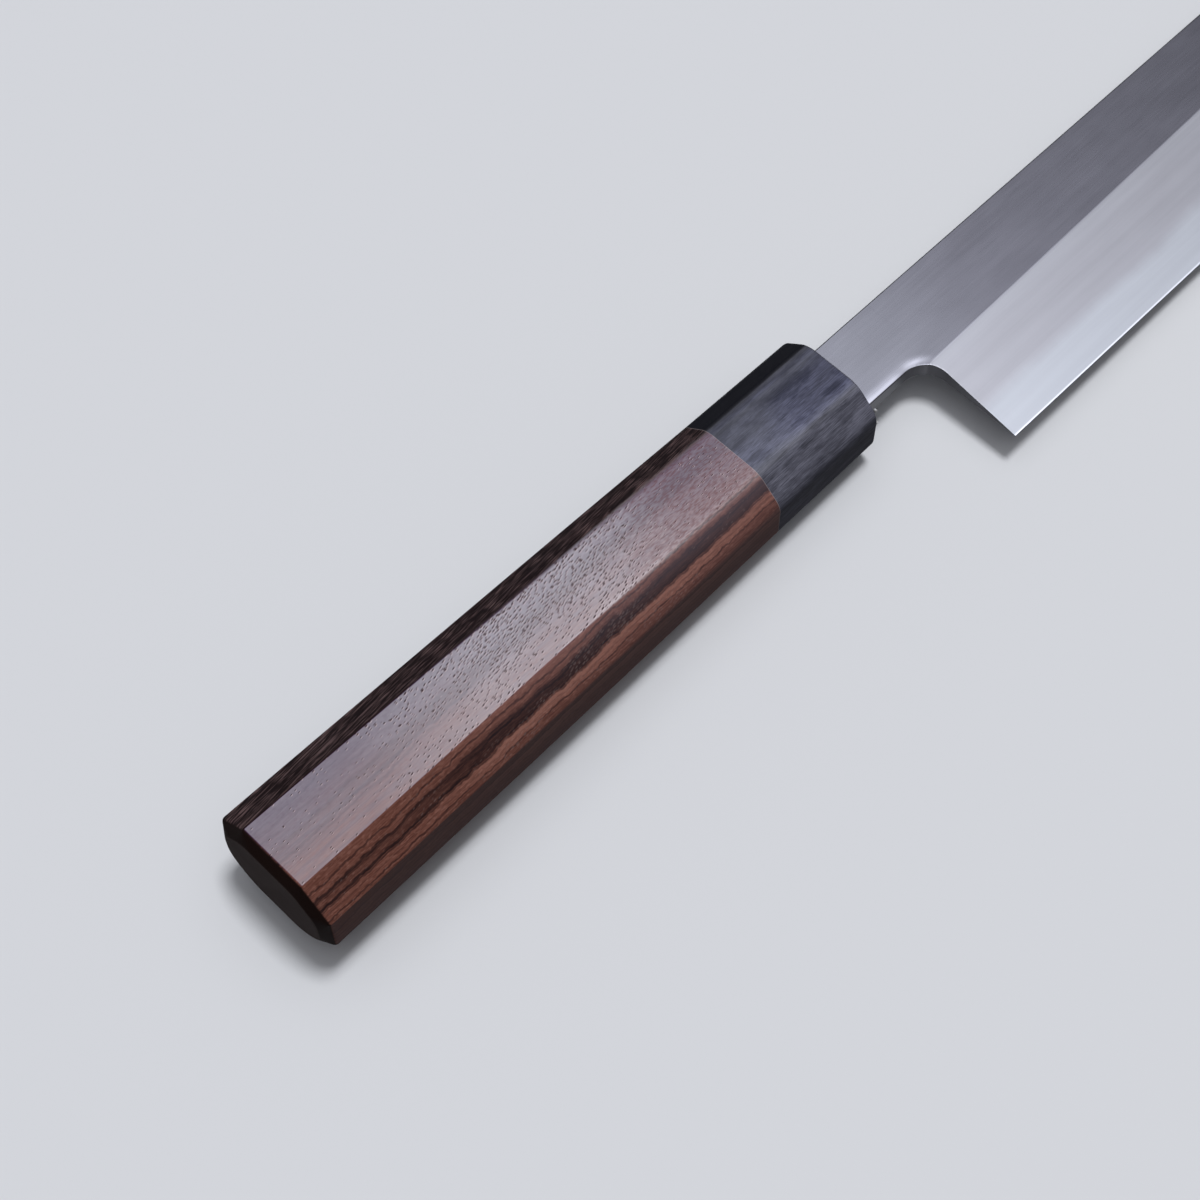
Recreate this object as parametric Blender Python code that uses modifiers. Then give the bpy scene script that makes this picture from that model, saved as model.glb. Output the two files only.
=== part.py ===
"""A right-handed mukimono knife, the vegetable knife for decorative peeling, in metres with +Z up.

+X runs from the butt along the handle's axis to the blade's point, the cutting edge lies to -Y and
the bevelled face looks up. The origin is the middle of the butt face, on the handle's axis.
"""
import math

import bmesh
import bpy
from mathutils import Matrix
from mathutils import Vector

# Handle, from the butt face to the ferrule's front face
HANDLE_LENGTH = 0.1300
FERRULE_LENGTH = 0.0250
BUTT_HEIGHT = 0.0256
BUTT_THICKNESS = 0.0194
BUTT_FACET_Y = 0.0060
BUTT_FACET_Z = 0.0053
FRONT_HEIGHT = 0.0222
FRONT_THICKNESS = 0.0186
FRONT_FACET_Y = 0.0053
FRONT_FACET_Z = 0.0048
BUTT_CHAMFER_DEPTH = 0.0016
BUTT_CHAMFER_INSET = 0.0020
FERRULE_RIM_RADIUS = 0.0014
ARRIS_RADIUS = 0.0004

# Joinery inside the handle
DOWEL_DIAMETER = 0.0136
DOWEL_IN_BODY = 0.0180
DOWEL_IN_FERRULE = 0.0160
DOWEL_CHAMFER = 0.0008
TANG_BORE_DIAMETER = 0.0120
BORE_PAST_TANG = 0.0030
DRILL_POINT_DEGREES = 118
BEDDING_PAST_TANG = 0.0020
SEAL_WALL = 0.0006
SEAL_DEPTH = 0.0018
SEAL_PROUD = 0.0003

# Blade outline, seen from above
BLADE_LENGTH = 0.1800
BLADE_HEIGHT = 0.0356
NECK_HEIGHT = 0.0144
NECK_LENGTH = 0.0170
CHOIL_RADIUS = 0.0052
CLIP_RUN = 0.0310
CLIP_CORNER_RADIUS = 0.0030
TANG_LENGTH = 0.0960
TANG_SHOULDER_DEPTH = 0.0025
TANG_SHOULDER_WIDTH = 0.0100
TANG_END_WIDTH = 0.0055

# Blade thicknesses
SPINE_THICKNESS = 0.0032
POINT_THICKNESS = 0.0018
TANG_END_THICKNESS = 0.0022
EDGE_LAND = 0.00012
BEVEL_WIDTH_AT_HEEL = 0.0193
BEVEL_WIDTH_AT_POINT = 0.0232
SPINE_EASING = 0.0003
NECK_EASING = 0.0007
HEEL_EASING = 0.00015

# Hard steel layer forge-welded under the soft iron
STEEL_SHOWN_AT_HEEL = 0.0085
STEEL_SHOWN_AT_POINT = 0.0110
STEEL_LAYER_AT_HEEL = 0.00115
STEEL_LAYER_AT_POINT = 0.00075
STEEL_BELOW_SPINE = 0.0012
STEEL_BEHIND_HEEL = 0.0030

# Hollow ground into the flat back, inside a flat rim
HOLLOW_DEPTH = 0.00035
RIM_AT_EDGE = 0.0018
RIM_AT_SPINE = 0.0024
RIM_AT_HEEL = 0.0030
HOLLOW_RUN_OUT = 0.0120

# Clearances
FIT_GAP = 0.0003
WELD_GAP = 0.00015
CUTTER_MARGIN = 0.0100
HOLLOW_UNDERCUT = 0.00005

# How finely the curved forms are divided
STRIP_LENGTH = 0.0090
ARC_STEPS = 8
ROUND_SIDES = 40
HOLLOW_STEPS = 12
EASING_STEPS = 3
ARRIS_STEPS = 2

MERGE_DISTANCE = 0.000001

# Places that follow from the sizes above
JOINT_X = HANDLE_LENGTH - FERRULE_LENGTH
SHOULDER_X = HANDLE_LENGTH - TANG_SHOULDER_DEPTH
TANG_END_X = HANDLE_LENGTH - TANG_LENGTH
HEEL_X = HANDLE_LENGTH + NECK_LENGTH
POINT_X = HEEL_X + BLADE_LENGTH
SPINE_Y = NECK_HEIGHT / 2
EDGE_Y = SPINE_Y - BLADE_HEIGHT
BACK_Z = -SPINE_THICKNESS / 2


def mix(start, end, share):
    """Value a given share of the way from start to end."""
    return start + (end - start) * share


def make_collection(name):
    """New collection linked to the scene."""
    collection = bpy.data.collections.new(name)
    bpy.context.scene.collection.children.link(collection)
    return collection


def make_material(name, colour, roughness, metallic):
    """Principled material of one plain colour."""
    material = bpy.data.materials.new(name)
    material.use_nodes = True
    shader = material.node_tree.nodes["Principled BSDF"]
    shader.inputs["Base Color"].default_value = (*colour, 1.0)
    shader.inputs["Roughness"].default_value = roughness
    shader.inputs["Metallic"].default_value = metallic
    material.diffuse_color = (*colour, 1.0)
    return material


def make_object(name, bm, collection, material=None):
    """Object that holds a finished bmesh, whose normals are turned outwards."""
    bmesh.ops.recalc_face_normals(bm, faces=bm.faces)
    mesh = bpy.data.meshes.new(name)
    bm.to_mesh(mesh)
    bm.free()
    if material is not None:
        mesh.materials.append(material)
    made = bpy.data.objects.new(name, mesh)
    collection.objects.link(made)
    return made


def make_cutter(name, bm, collection):
    """Object that only shapes others, shown as wire."""
    cutter = make_object(name, bm, collection)
    cutter.hide_render = True
    cutter.display_type = "WIRE"
    return cutter


def cut(target, cutter):
    """Take the cutter's space out of the target."""
    modifier = target.modifiers.new("cut_" + cutter.name, "BOOLEAN")
    modifier.operation = "DIFFERENCE"
    modifier.solver = "EXACT"
    modifier.object = cutter


def shade(made, angle_degrees):
    """Smooth shading on round stretches, with the true arrises kept sharp."""
    made.data.shade_smooth()
    made.data.set_sharp_from_angle(angle=math.radians(angle_degrees))


def loft(rings):
    """Closed bmesh through rings of equally many points, capped at both ends."""
    bm = bmesh.new()
    loops = []
    for ring in rings:
        corners = [bm.verts.new(point) for point in ring]
        edges = [bm.edges.new((a, b)) for a, b in zip(corners, corners[1:] + corners[:1])]
        loops.append(edges)
    for near, far in zip(loops, loops[1:]):
        bmesh.ops.bridge_loops(bm, edges=near + far)
    bmesh.ops.contextual_create(bm, geom=loops[0])
    bmesh.ops.contextual_create(bm, geom=loops[-1])
    return bm


def rectangle(x, low_y, high_y, low_z, high_z):
    """Four corners of an upright rectangle at one station."""
    return [(x, low_y, low_z), (x, high_y, low_z), (x, high_y, high_z), (x, low_y, high_z)]


def round_bar(start_x, end_x, radius):
    """Closed bmesh of a cylinder along the handle's axis."""
    bm = bmesh.new()
    turn = Matrix.Rotation(math.pi / 2, 4, "Y")
    place = Matrix.Translation(((start_x + end_x) / 2, 0, 0)) @ turn
    bmesh.ops.create_cone(bm, cap_ends=True, segments=ROUND_SIDES, radius1=radius, radius2=radius,
                          depth=end_x - start_x, matrix=place)
    return bm


def ease_edges(bm, wanted, width, segments):
    """Round off the edges that a test picks."""
    edges = [edge for edge in bm.edges if wanted(edge)]
    bmesh.ops.bevel(bm, geom=edges, offset=width, segments=segments, profile=0.5,
                    affect="EDGES", material=-1)


def point_bar(bm, start_x, depth):
    """Draw the start of a bar out to a point, as a drill leaves the bottom of its hole."""
    bm.faces.ensure_lookup_table()
    start_cap = min(bm.faces, key=lambda face: face.calc_center_median().x)
    centre = bmesh.ops.poke(bm, faces=[start_cap])["verts"][0]
    centre.co.x = start_x - depth


def handle_octagon(x, inset):
    """Eight corners of the handle's section at a station, drawn in by a distance on every side."""
    share = x / HANDLE_LENGTH
    half_height = mix(BUTT_HEIGHT, FRONT_HEIGHT, share) / 2
    half_thickness = mix(BUTT_THICKNESS, FRONT_THICKNESS, share) / 2
    facet_y = mix(BUTT_FACET_Y, FRONT_FACET_Y, share)
    facet_z = mix(BUTT_FACET_Z, FRONT_FACET_Z, share)
    facet_length = math.hypot(facet_y, facet_z)
    normal_y = facet_z / facet_length
    normal_z = facet_y / facet_length
    reach = normal_y * half_height + normal_z * (half_thickness - facet_z) - inset
    side = half_height - inset
    top = half_thickness - inset
    side_z = (reach - normal_y * side) / normal_z
    top_y = (reach - normal_z * top) / normal_y
    quarter = [(side, side_z), (top_y, top)]
    upper = quarter + [(-y, z) for y, z in reversed(quarter)]
    lower = [(-y, -z) for y, z in upper]
    return [(x, y, z) for y, z in upper + lower]


def is_long_arris(edge):
    """True for the edges that run the length of the handle between two facets."""
    start, end = (vert.co for vert in edge.verts)
    return abs(start.x - end.x) > 0.9 * (start - end).length


def spine_thickness(x):
    """Thickness behind the shinogi ridge, and of the tang, at a station."""
    if x >= HEEL_X:
        return mix(SPINE_THICKNESS, POINT_THICKNESS, (x - HEEL_X) / BLADE_LENGTH)
    if x <= SHOULDER_X:
        return mix(SPINE_THICKNESS, TANG_END_THICKNESS, (SHOULDER_X - x) / (SHOULDER_X - TANG_END_X))
    return SPINE_THICKNESS


def tang_half_width(x):
    """Half the tang's width at a station behind its shoulder."""
    share = (x - TANG_END_X) / (SHOULDER_X - TANG_END_X)
    return mix(TANG_END_WIDTH, TANG_SHOULDER_WIDTH, share) / 2


def ridge_y(x):
    """Place of the shinogi ridge between the flat and the bevel."""
    return EDGE_Y + mix(BEVEL_WIDTH_AT_HEEL, BEVEL_WIDTH_AT_POINT, (x - HEEL_X) / BLADE_LENGTH)


def blade_thickness(x, y):
    """Full thickness of the blade above its flat back."""
    behind_ridge = spine_thickness(x)
    if y >= ridge_y(x):
        return behind_ridge
    share = (y - EDGE_Y) / (ridge_y(x) - EDGE_Y)
    return mix(EDGE_LAND, behind_ridge, share)


def arc(centre, radius, start_degrees, end_degrees):
    """Points along an arc, both ends included."""
    points = []
    for step in range(ARC_STEPS + 1):
        angle = math.radians(mix(start_degrees, end_degrees, step / ARC_STEPS))
        points.append((centre[0] + radius * math.cos(angle), centre[1] + radius * math.sin(angle)))
    return points


def clip_slope_degrees():
    """Angle of the clipped front between the spine and the point."""
    return math.degrees(math.atan2(BLADE_HEIGHT, CLIP_RUN))


def blade_outline():
    """Outline of blade, neck and tang, counter-clockwise from the end of the tang."""
    end_radius = TANG_END_WIDTH / 2
    tang_end = arc((TANG_END_X + end_radius, 0), end_radius, 90, 270)
    choil = arc((HEEL_X - CHOIL_RADIUS, -SPINE_Y - CHOIL_RADIUS), CHOIL_RADIUS, 90, 0)
    turn = clip_slope_degrees()
    setback = CLIP_CORNER_RADIUS * math.tan(math.radians(turn / 2))
    corner_centre = (POINT_X - CLIP_RUN - setback, SPINE_Y - CLIP_CORNER_RADIUS)
    clip_corner = arc(corner_centre, CLIP_CORNER_RADIUS, 90 - turn, 90)
    lower_tang = [(SHOULDER_X, -TANG_SHOULDER_WIDTH / 2), (SHOULDER_X, -SPINE_Y)]
    point_and_heel = [(HEEL_X, EDGE_Y), (POINT_X, EDGE_Y)]
    upper_tang = [(SHOULDER_X, SPINE_Y), (SHOULDER_X, TANG_SHOULDER_WIDTH / 2)]
    return tang_end + lower_tang + choil + point_and_heel + clip_corner + upper_tang


def evaluated_bmesh(holder):
    """Bmesh of an object with its modifiers applied; the object is then removed."""
    bpy.context.scene.collection.objects.link(holder)
    graph = bpy.context.evaluated_depsgraph_get()
    mesh = bpy.data.meshes.new_from_object(holder.evaluated_get(graph))
    bm = bmesh.new()
    bm.from_mesh(mesh)
    bpy.data.meshes.remove(mesh)
    bpy.data.objects.remove(holder)
    return bm


def plate(outline, thickness):
    """Bmesh of a flat outline, extruded to an even thickness about z = 0."""
    curve = bpy.data.curves.new("outline", "CURVE")
    curve.dimensions = "2D"
    curve.fill_mode = "BOTH"
    curve.extrude = thickness / 2
    spline = curve.splines.new("POLY")
    spline.points.add(len(outline) - 1)
    for point, (x, y) in zip(spline.points, outline):
        point.co = (x, y, 0, 1)
    spline.use_cyclic_u = True
    bm = evaluated_bmesh(bpy.data.objects.new("outline", curve))
    bpy.data.curves.remove(curve)
    bmesh.ops.remove_doubles(bm, verts=bm.verts, dist=MERGE_DISTANCE)
    bmesh.ops.recalc_face_normals(bm, faces=bm.faces)
    bmesh.ops.dissolve_limit(bm, angle_limit=math.radians(0.5), verts=bm.verts, edges=bm.edges,
                             use_dissolve_boundaries=False)
    return bm


def is_rim(edge):
    """True for an edge between a broad face of the plate and its side."""
    return edge.is_manifold and edge.calc_face_angle() > math.radians(60) and all(
        abs(vert.co.z - edge.verts[0].co.z) < MERGE_DISTANCE for vert in edge.verts)


def easing_width(edge):
    """Width by which a rim of the blade is rounded off: most under the neck, fading round the choil."""
    middle = (edge.verts[0].co + edge.verts[1].co) / 2
    on_tang = middle.x < SHOULDER_X + MERGE_DISTANCE
    on_edge = middle.y < EDGE_Y + MERGE_DISTANCE
    if on_tang or on_edge or not is_rim(edge):
        return 0.0
    if middle.x > HEEL_X + MERGE_DISTANCE or middle.y > 0:
        return SPINE_EASING
    round_choil = min(1.0, (-SPINE_Y - middle.y) / CHOIL_RADIUS)
    return mix(NECK_EASING, HEEL_EASING, max(0.0, round_choil))


def ease_rims(bm):
    """Plate with its rims rounded off, each by its own width."""
    weight = bm.edges.layers.float.new("bevel_weight_edge")
    for edge in bm.edges:
        edge[weight] = easing_width(edge) / NECK_EASING
    mesh = bpy.data.meshes.new("eased_plate")
    bm.to_mesh(mesh)
    bm.free()
    holder = bpy.data.objects.new("eased_plate", mesh)
    easing = holder.modifiers.new("easing", "BEVEL")
    easing.limit_method = "WEIGHT"
    easing.width = NECK_EASING
    easing.segments = EASING_STEPS
    eased = evaluated_bmesh(holder)
    bpy.data.meshes.remove(mesh)
    return eased


def split_at(bm, place, normal):
    """Add edges where a plane crosses the mesh."""
    geometry = list(bm.verts) + list(bm.edges) + list(bm.faces)
    bmesh.ops.bisect_plane(bm, geom=geometry, dist=MERGE_DISTANCE, plane_co=place, plane_no=normal)


def blade_form():
    """Bmesh of the whole forged blade and tang, before its layers are told apart."""
    bm = ease_rims(plate(blade_outline(), SPINE_THICKNESS))
    ridge_run = Vector((BLADE_LENGTH, ridge_y(POINT_X) - ridge_y(HEEL_X), 0))
    split_at(bm, Vector((HEEL_X, ridge_y(HEEL_X), 0)), Vector((-ridge_run.y, ridge_run.x, 0)))
    strips = math.ceil(BLADE_LENGTH / STRIP_LENGTH)
    for strip in range(strips):
        station = HEEL_X + BLADE_LENGTH * strip / strips
        split_at(bm, Vector((station, 0, 0)), Vector((1, 0, 0)))
    for vert in bm.verts:
        x, y, z = vert.co
        share = z / SPINE_THICKNESS + 0.5
        thickness = blade_thickness(x, y)
        low = -thickness / 2 if x < SHOULDER_X else BACK_Z
        vert.co.z = low + share * thickness
    bmesh.ops.triangulate(bm, faces=bm.faces)
    return bm


def layer_sizes(x):
    """Height of the steel layer above the back, and how far it shows on the bevel, at a station."""
    share = (x - HEEL_X) / BLADE_LENGTH
    height = mix(STEEL_LAYER_AT_HEEL, STEEL_LAYER_AT_POINT, share)
    shown = mix(STEEL_SHOWN_AT_HEEL, STEEL_SHOWN_AT_POINT, share)
    return height, shown


def steel_pocket():
    """Cutter that takes the hard steel's space out of the soft iron."""
    rings = []
    for x in (HEEL_X - STEEL_BEHIND_HEEL, POINT_X + CUTTER_MARGIN):
        height, shown = layer_sizes(x)
        far_y = EDGE_Y - CUTTER_MARGIN
        toe_y = EDGE_Y + shown
        wall_y = SPINE_Y - STEEL_BELOW_SPINE
        section = [(far_y, BACK_Z - CUTTER_MARGIN), (wall_y, BACK_Z - CUTTER_MARGIN),
                   (wall_y, BACK_Z + height), (toe_y, BACK_Z + height),
                   (toe_y, CUTTER_MARGIN), (far_y, CUTTER_MARGIN)]
        rings.append([(x, y, z) for y, z in section])
    return loft(rings)


def iron_space():
    """Cutter that takes the soft iron's space, and the weld's line, out of the hard steel."""
    rings = []
    for x in (HEEL_X - CUTTER_MARGIN, POINT_X + CUTTER_MARGIN):
        height, shown = layer_sizes(x)
        toe_y = EDGE_Y + shown - WELD_GAP
        wall_y = SPINE_Y - STEEL_BELOW_SPINE - WELD_GAP
        roof_z = BACK_Z + height - WELD_GAP
        far_y = SPINE_Y + CUTTER_MARGIN
        section = [(toe_y, CUTTER_MARGIN), (toe_y, roof_z), (wall_y, roof_z),
                   (wall_y, BACK_Z - CUTTER_MARGIN), (far_y, BACK_Z - CUTTER_MARGIN), (far_y, CUTTER_MARGIN)]
        rings.append([(x, y, z) for y, z in section])
    return loft(rings)


def neck_space():
    """Cutter that ends the hard steel behind the heel, so that neck and tang are soft iron alone."""
    end_x = HEEL_X - STEEL_BEHIND_HEEL + WELD_GAP
    low_y = EDGE_Y - CUTTER_MARGIN
    high_y = SPINE_Y + CUTTER_MARGIN
    stations = (TANG_END_X - CUTTER_MARGIN, end_x)
    return loft([rectangle(x, low_y, high_y, BACK_Z - CUTTER_MARGIN, CUTTER_MARGIN) for x in stations])


def hollow_top_y(x):
    """Upper limit of the hollow at a station: under the spine, then beside the clipped front."""
    under_spine = SPINE_Y - RIM_AT_SPINE
    rim_along_x = RIM_AT_SPINE / math.sin(math.radians(clip_slope_degrees()))
    beside_clip = EDGE_Y + (POINT_X - rim_along_x - x) * BLADE_HEIGHT / CLIP_RUN
    return min(under_spine, beside_clip)


def back_hollow():
    """Cutter of the shallow hollow in the back: wide, round in section, fading out at both ends."""
    low_y = EDGE_Y + RIM_AT_EDGE
    start_x = HEEL_X + RIM_AT_HEEL
    full_width = SPINE_Y - RIM_AT_SPINE - low_y
    clip_start_x = POINT_X - CLIP_RUN
    end_x = POINT_X - CLIP_RUN * (RIM_AT_EDGE + RIM_AT_SPINE * 2) / BLADE_HEIGHT - RIM_AT_SPINE
    run_out = [start_x + HOLLOW_RUN_OUT * (1 - math.cos(math.radians(angle))) for angle in range(0, 90, 15)]
    body = [mix(start_x + HOLLOW_RUN_OUT, clip_start_x, step / HOLLOW_STEPS) for step in range(HOLLOW_STEPS)]
    front = [mix(clip_start_x, end_x, step / HOLLOW_STEPS) for step in range(HOLLOW_STEPS + 1)]
    rings = []
    for x in run_out + body + front:
        width = hollow_top_y(x) - low_y
        behind = max(0.0, (start_x + HOLLOW_RUN_OUT - x) / HOLLOW_RUN_OUT)
        fade = math.sqrt(max(0.0, 1 - behind * behind))
        rise = (HOLLOW_DEPTH + HOLLOW_UNDERCUT) * fade * (width / full_width) ** 2
        ring = []
        for step in range(HOLLOW_STEPS + 1):
            across = step / HOLLOW_STEPS
            height = 4 * across * (1 - across) * rise - HOLLOW_UNDERCUT
            ring.append((x, low_y + across * width, BACK_Z + height))
        ring += [(x, low_y + width, BACK_Z - CUTTER_MARGIN), (x, low_y, BACK_Z - CUTTER_MARGIN)]
        rings.append(ring)
    return loft(rings)


def tang_space():
    """Cutter that the tang passes through with a fit all round, from behind its end to the shoulder."""
    rings = []
    for x in (TANG_END_X - FIT_GAP, SHOULDER_X + FIT_GAP):
        half_width = tang_half_width(x) + FIT_GAP
        half_thickness = spine_thickness(x) / 2 + FIT_GAP
        rings.append(rectangle(x, -half_width, half_width, -half_thickness, half_thickness))
    return loft(rings)


def mouth_space():
    """Cutter of the ferrule's mouth, wide enough for the neck and the resin round it."""
    room = FIT_GAP + SEAL_WALL + FIT_GAP
    half_height = SPINE_Y + room
    half_thickness = SPINE_THICKNESS / 2 + room
    stations = (SHOULDER_X - FIT_GAP, HANDLE_LENGTH + CUTTER_MARGIN)
    return loft([rectangle(x, -half_height, half_height, -half_thickness, half_thickness) for x in stations])


def neck_sleeve():
    """Cutter that the neck passes through inside the mouth seal."""
    half_height = SPINE_Y + FIT_GAP
    half_thickness = SPINE_THICKNESS / 2 + FIT_GAP
    stations = (JOINT_X, HANDLE_LENGTH + CUTTER_MARGIN)
    return loft([rectangle(x, -half_height, half_height, -half_thickness, half_thickness) for x in stations])


def dowel_socket():
    """Cutter of the round socket that the dowel fits, half in the body and half in the ferrule."""
    start_x = JOINT_X - DOWEL_IN_BODY - FIT_GAP
    end_x = JOINT_X + DOWEL_IN_FERRULE + FIT_GAP
    return round_bar(start_x, end_x, DOWEL_DIAMETER / 2 + FIT_GAP)


def tang_bore():
    """Cutter of the blind hole drilled for the tang, with the drill's point at its bottom."""
    start_x = TANG_END_X - BORE_PAST_TANG
    radius = TANG_BORE_DIAMETER / 2
    bm = round_bar(start_x, JOINT_X + CUTTER_MARGIN, radius)
    point_bar(bm, start_x, radius / math.tan(math.radians(DRILL_POINT_DEGREES / 2)))
    return bm


def build_handle_body(parts, tools):
    """Rosewood body: a tapering octagon with a chamfered butt, bored from the front."""
    body_end = JOINT_X - FIT_GAP
    butt_face = handle_octagon(0, BUTT_CHAMFER_INSET)
    bm = loft([butt_face, handle_octagon(BUTT_CHAMFER_DEPTH, 0), handle_octagon(body_end, 0)])
    ease_edges(bm, lambda edge: not on_station(edge, body_end), ARRIS_RADIUS, ARRIS_STEPS)
    rosewood = make_material("rosewood", (0.085, 0.038, 0.028), 0.38, 0.0)
    body = make_object("handle_body", bm, parts, rosewood)
    shade(body, 25)
    cut(body, tools["dowel_socket"])
    cut(body, tools["tang_bore"])


def on_station(edge, x):
    """True for an edge that lies in the cross-section at a station."""
    return all(abs(vert.co.x - x) < MERGE_DISTANCE for vert in edge.verts)


def build_ferrule(parts, tools):
    """Black ferrule: the same octagon carried on, with a rounded front rim and a mouth for the neck."""
    rings = [handle_octagon(JOINT_X, 0)]
    rim_start = HANDLE_LENGTH - FERRULE_RIM_RADIUS
    for angle in range(0, 91, 30):
        radians = math.radians(angle)
        x = rim_start + FERRULE_RIM_RADIUS * math.sin(radians)
        rings.append(handle_octagon(x, FERRULE_RIM_RADIUS * (1 - math.cos(radians))))
    bm = loft(rings)
    ease_edges(bm, is_long_arris, ARRIS_RADIUS, ARRIS_STEPS)
    pakkawood = make_material("black_pakkawood", (0.022, 0.023, 0.028), 0.33, 0.0)
    ferrule = make_object("ferrule", bm, parts, pakkawood)
    shade(ferrule, 25)
    cut(ferrule, tools["dowel_socket"])
    cut(ferrule, tools["tang_space"])
    cut(ferrule, tools["mouth_space"])


def build_dowel(parts, tools):
    """Hardwood dowel that lines up body and ferrule, slotted for the tang."""
    start_x = JOINT_X - DOWEL_IN_BODY
    end_x = JOINT_X + DOWEL_IN_FERRULE
    bm = round_bar(start_x, end_x, DOWEL_DIAMETER / 2)
    ease_edges(bm, lambda edge: on_station(edge, start_x) or on_station(edge, end_x), DOWEL_CHAMFER, 1)
    pale_hardwood = make_material("pale_hardwood", (0.55, 0.38, 0.22), 0.6, 0.0)
    dowel = make_object("joining_dowel", bm, parts, pale_hardwood)
    shade(dowel, 30)
    cut(dowel, tools["tang_space"])


def build_bedding(parts, tools):
    """Resin that beds the tang in the body's bore, from behind the tang's end to the dowel."""
    start_x = TANG_END_X - BEDDING_PAST_TANG
    end_x = JOINT_X - DOWEL_IN_BODY - FIT_GAP * 2
    bm = round_bar(start_x, end_x, TANG_BORE_DIAMETER / 2 - FIT_GAP)
    amber_resin = make_material("amber_resin", (0.42, 0.30, 0.16), 0.35, 0.0)
    bedding = make_object("tang_bedding", bm, parts, amber_resin)
    shade(bedding, 30)
    cut(bedding, tools["tang_space"])


def build_mouth_seal(parts, tools):
    """Ring of clear resin that closes the ferrule's mouth round the neck."""
    half_height = SPINE_Y + FIT_GAP + SEAL_WALL
    half_thickness = SPINE_THICKNESS / 2 + FIT_GAP + SEAL_WALL
    stations = (HANDLE_LENGTH - SEAL_DEPTH, HANDLE_LENGTH + SEAL_PROUD)
    bm = loft([rectangle(x, -half_height, half_height, -half_thickness, half_thickness) for x in stations])
    clear_resin = make_material("clear_resin", (0.55, 0.53, 0.50), 0.25, 0.0)
    seal = make_object("mouth_seal", bm, parts, clear_resin)
    cut(seal, tools["neck_sleeve"])


def build_blade(parts, tools):
    """Blade of two forge-welded layers: soft iron with neck and tang, and hard steel below it."""
    soft_iron = make_material("soft_iron", (0.50, 0.50, 0.54), 0.32, 1.0)
    iron = make_object("blade_soft_iron", blade_form(), parts, soft_iron)
    cut(iron, tools["steel_pocket"])
    hard_steel = make_material("hard_steel", (0.66, 0.67, 0.71), 0.24, 1.0)
    steel = make_object("blade_hard_steel", blade_form(), parts, hard_steel)
    cut(steel, tools["iron_space"])
    cut(steel, tools["neck_space"])
    cut(steel, tools["back_hollow"])


def main():
    """Clear the scene and build the knife."""
    for old in list(bpy.data.objects):
        bpy.data.objects.remove(old)
    parts = make_collection("mukimono_knife")
    cutters = make_collection("cutters")
    forms = {
        "dowel_socket": dowel_socket(),
        "tang_bore": tang_bore(),
        "tang_space": tang_space(),
        "mouth_space": mouth_space(),
        "neck_sleeve": neck_sleeve(),
        "steel_pocket": steel_pocket(),
        "iron_space": iron_space(),
        "neck_space": neck_space(),
        "back_hollow": back_hollow(),
    }
    tools = {name: make_cutter(name, form, cutters) for name, form in forms.items()}
    build_blade(parts, tools)
    build_ferrule(parts, tools)
    build_handle_body(parts, tools)
    build_dowel(parts, tools)
    build_bedding(parts, tools)
    build_mouth_seal(parts, tools)


main()
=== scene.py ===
"""A right-handed mukimono knife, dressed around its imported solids.

+X runs from the butt along the handle to the blade's point, the cutting edge lies to -Y and the bevelled
face looks up. Sizes are in metres. Patterns are worked out in millimetres, on Object coordinates.
"""
import logging
import math
from collections.abc import Callable, Mapping, Sequence
from dataclasses import dataclass
from enum import Enum

import bmesh
import bpy
from mathutils import Matrix, Vector


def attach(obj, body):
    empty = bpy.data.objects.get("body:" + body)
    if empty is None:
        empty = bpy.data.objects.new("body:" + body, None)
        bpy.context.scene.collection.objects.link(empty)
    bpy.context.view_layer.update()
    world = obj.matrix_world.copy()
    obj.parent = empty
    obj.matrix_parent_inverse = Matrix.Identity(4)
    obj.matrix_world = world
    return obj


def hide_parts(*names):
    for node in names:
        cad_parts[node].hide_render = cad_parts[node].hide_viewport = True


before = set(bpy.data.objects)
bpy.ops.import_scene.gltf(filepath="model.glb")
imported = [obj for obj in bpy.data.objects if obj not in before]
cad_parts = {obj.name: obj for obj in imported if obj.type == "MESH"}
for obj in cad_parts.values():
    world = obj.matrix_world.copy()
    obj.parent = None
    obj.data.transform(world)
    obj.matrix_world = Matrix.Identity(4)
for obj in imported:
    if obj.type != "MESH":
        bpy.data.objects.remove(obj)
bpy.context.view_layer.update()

LOG = logging.getLogger("mukimono_knife")
MERGE_DISTANCE = 0.000001
MILLIMETRES = 1000.0
NODE_SPACING = 180.0
FACE_AREA_WEIGHT = 100

# Waves of the growth layers: scales along X, Y and Z, and depth.
GROWTH_WAVES = (
    ((0.014, 0.050, 0.050), 2.4),
    ((0.080, 0.150, 0.150), 1.2),
    ((0.350, 0.200, 0.200), 0.75),
    ((1.100, 0.500, 0.500), 0.50),
)
# Waves of the line between the two metals: scale along X, detail and depth.
WELD_WAVES = (
    (0.055, 1.0, 2.6),
    (0.300, 2.0, 0.9),
)
WELD_HAZE_WIDTH = 3.2

Mesh =bmesh.types.BMesh
MeshEdge = bmesh.types.BMEdge
MeshFace = bmesh.types.BMFace
Material = bpy.types.Material
Node = bpy.types.Node
Piece = bpy.types.Object
Socket = bpy.types.NodeSocket
Tree = bpy.types.NodeTree
Colour = tuple[float, float, float]
Corner = tuple[float, float]
Zone = tuple[float, ...]


def mix(start: float, end: float, share: float) -> float:
    """Value a given share of the way from start to end."""
    return start + (end - start) * share


# Mesh tools


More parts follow.
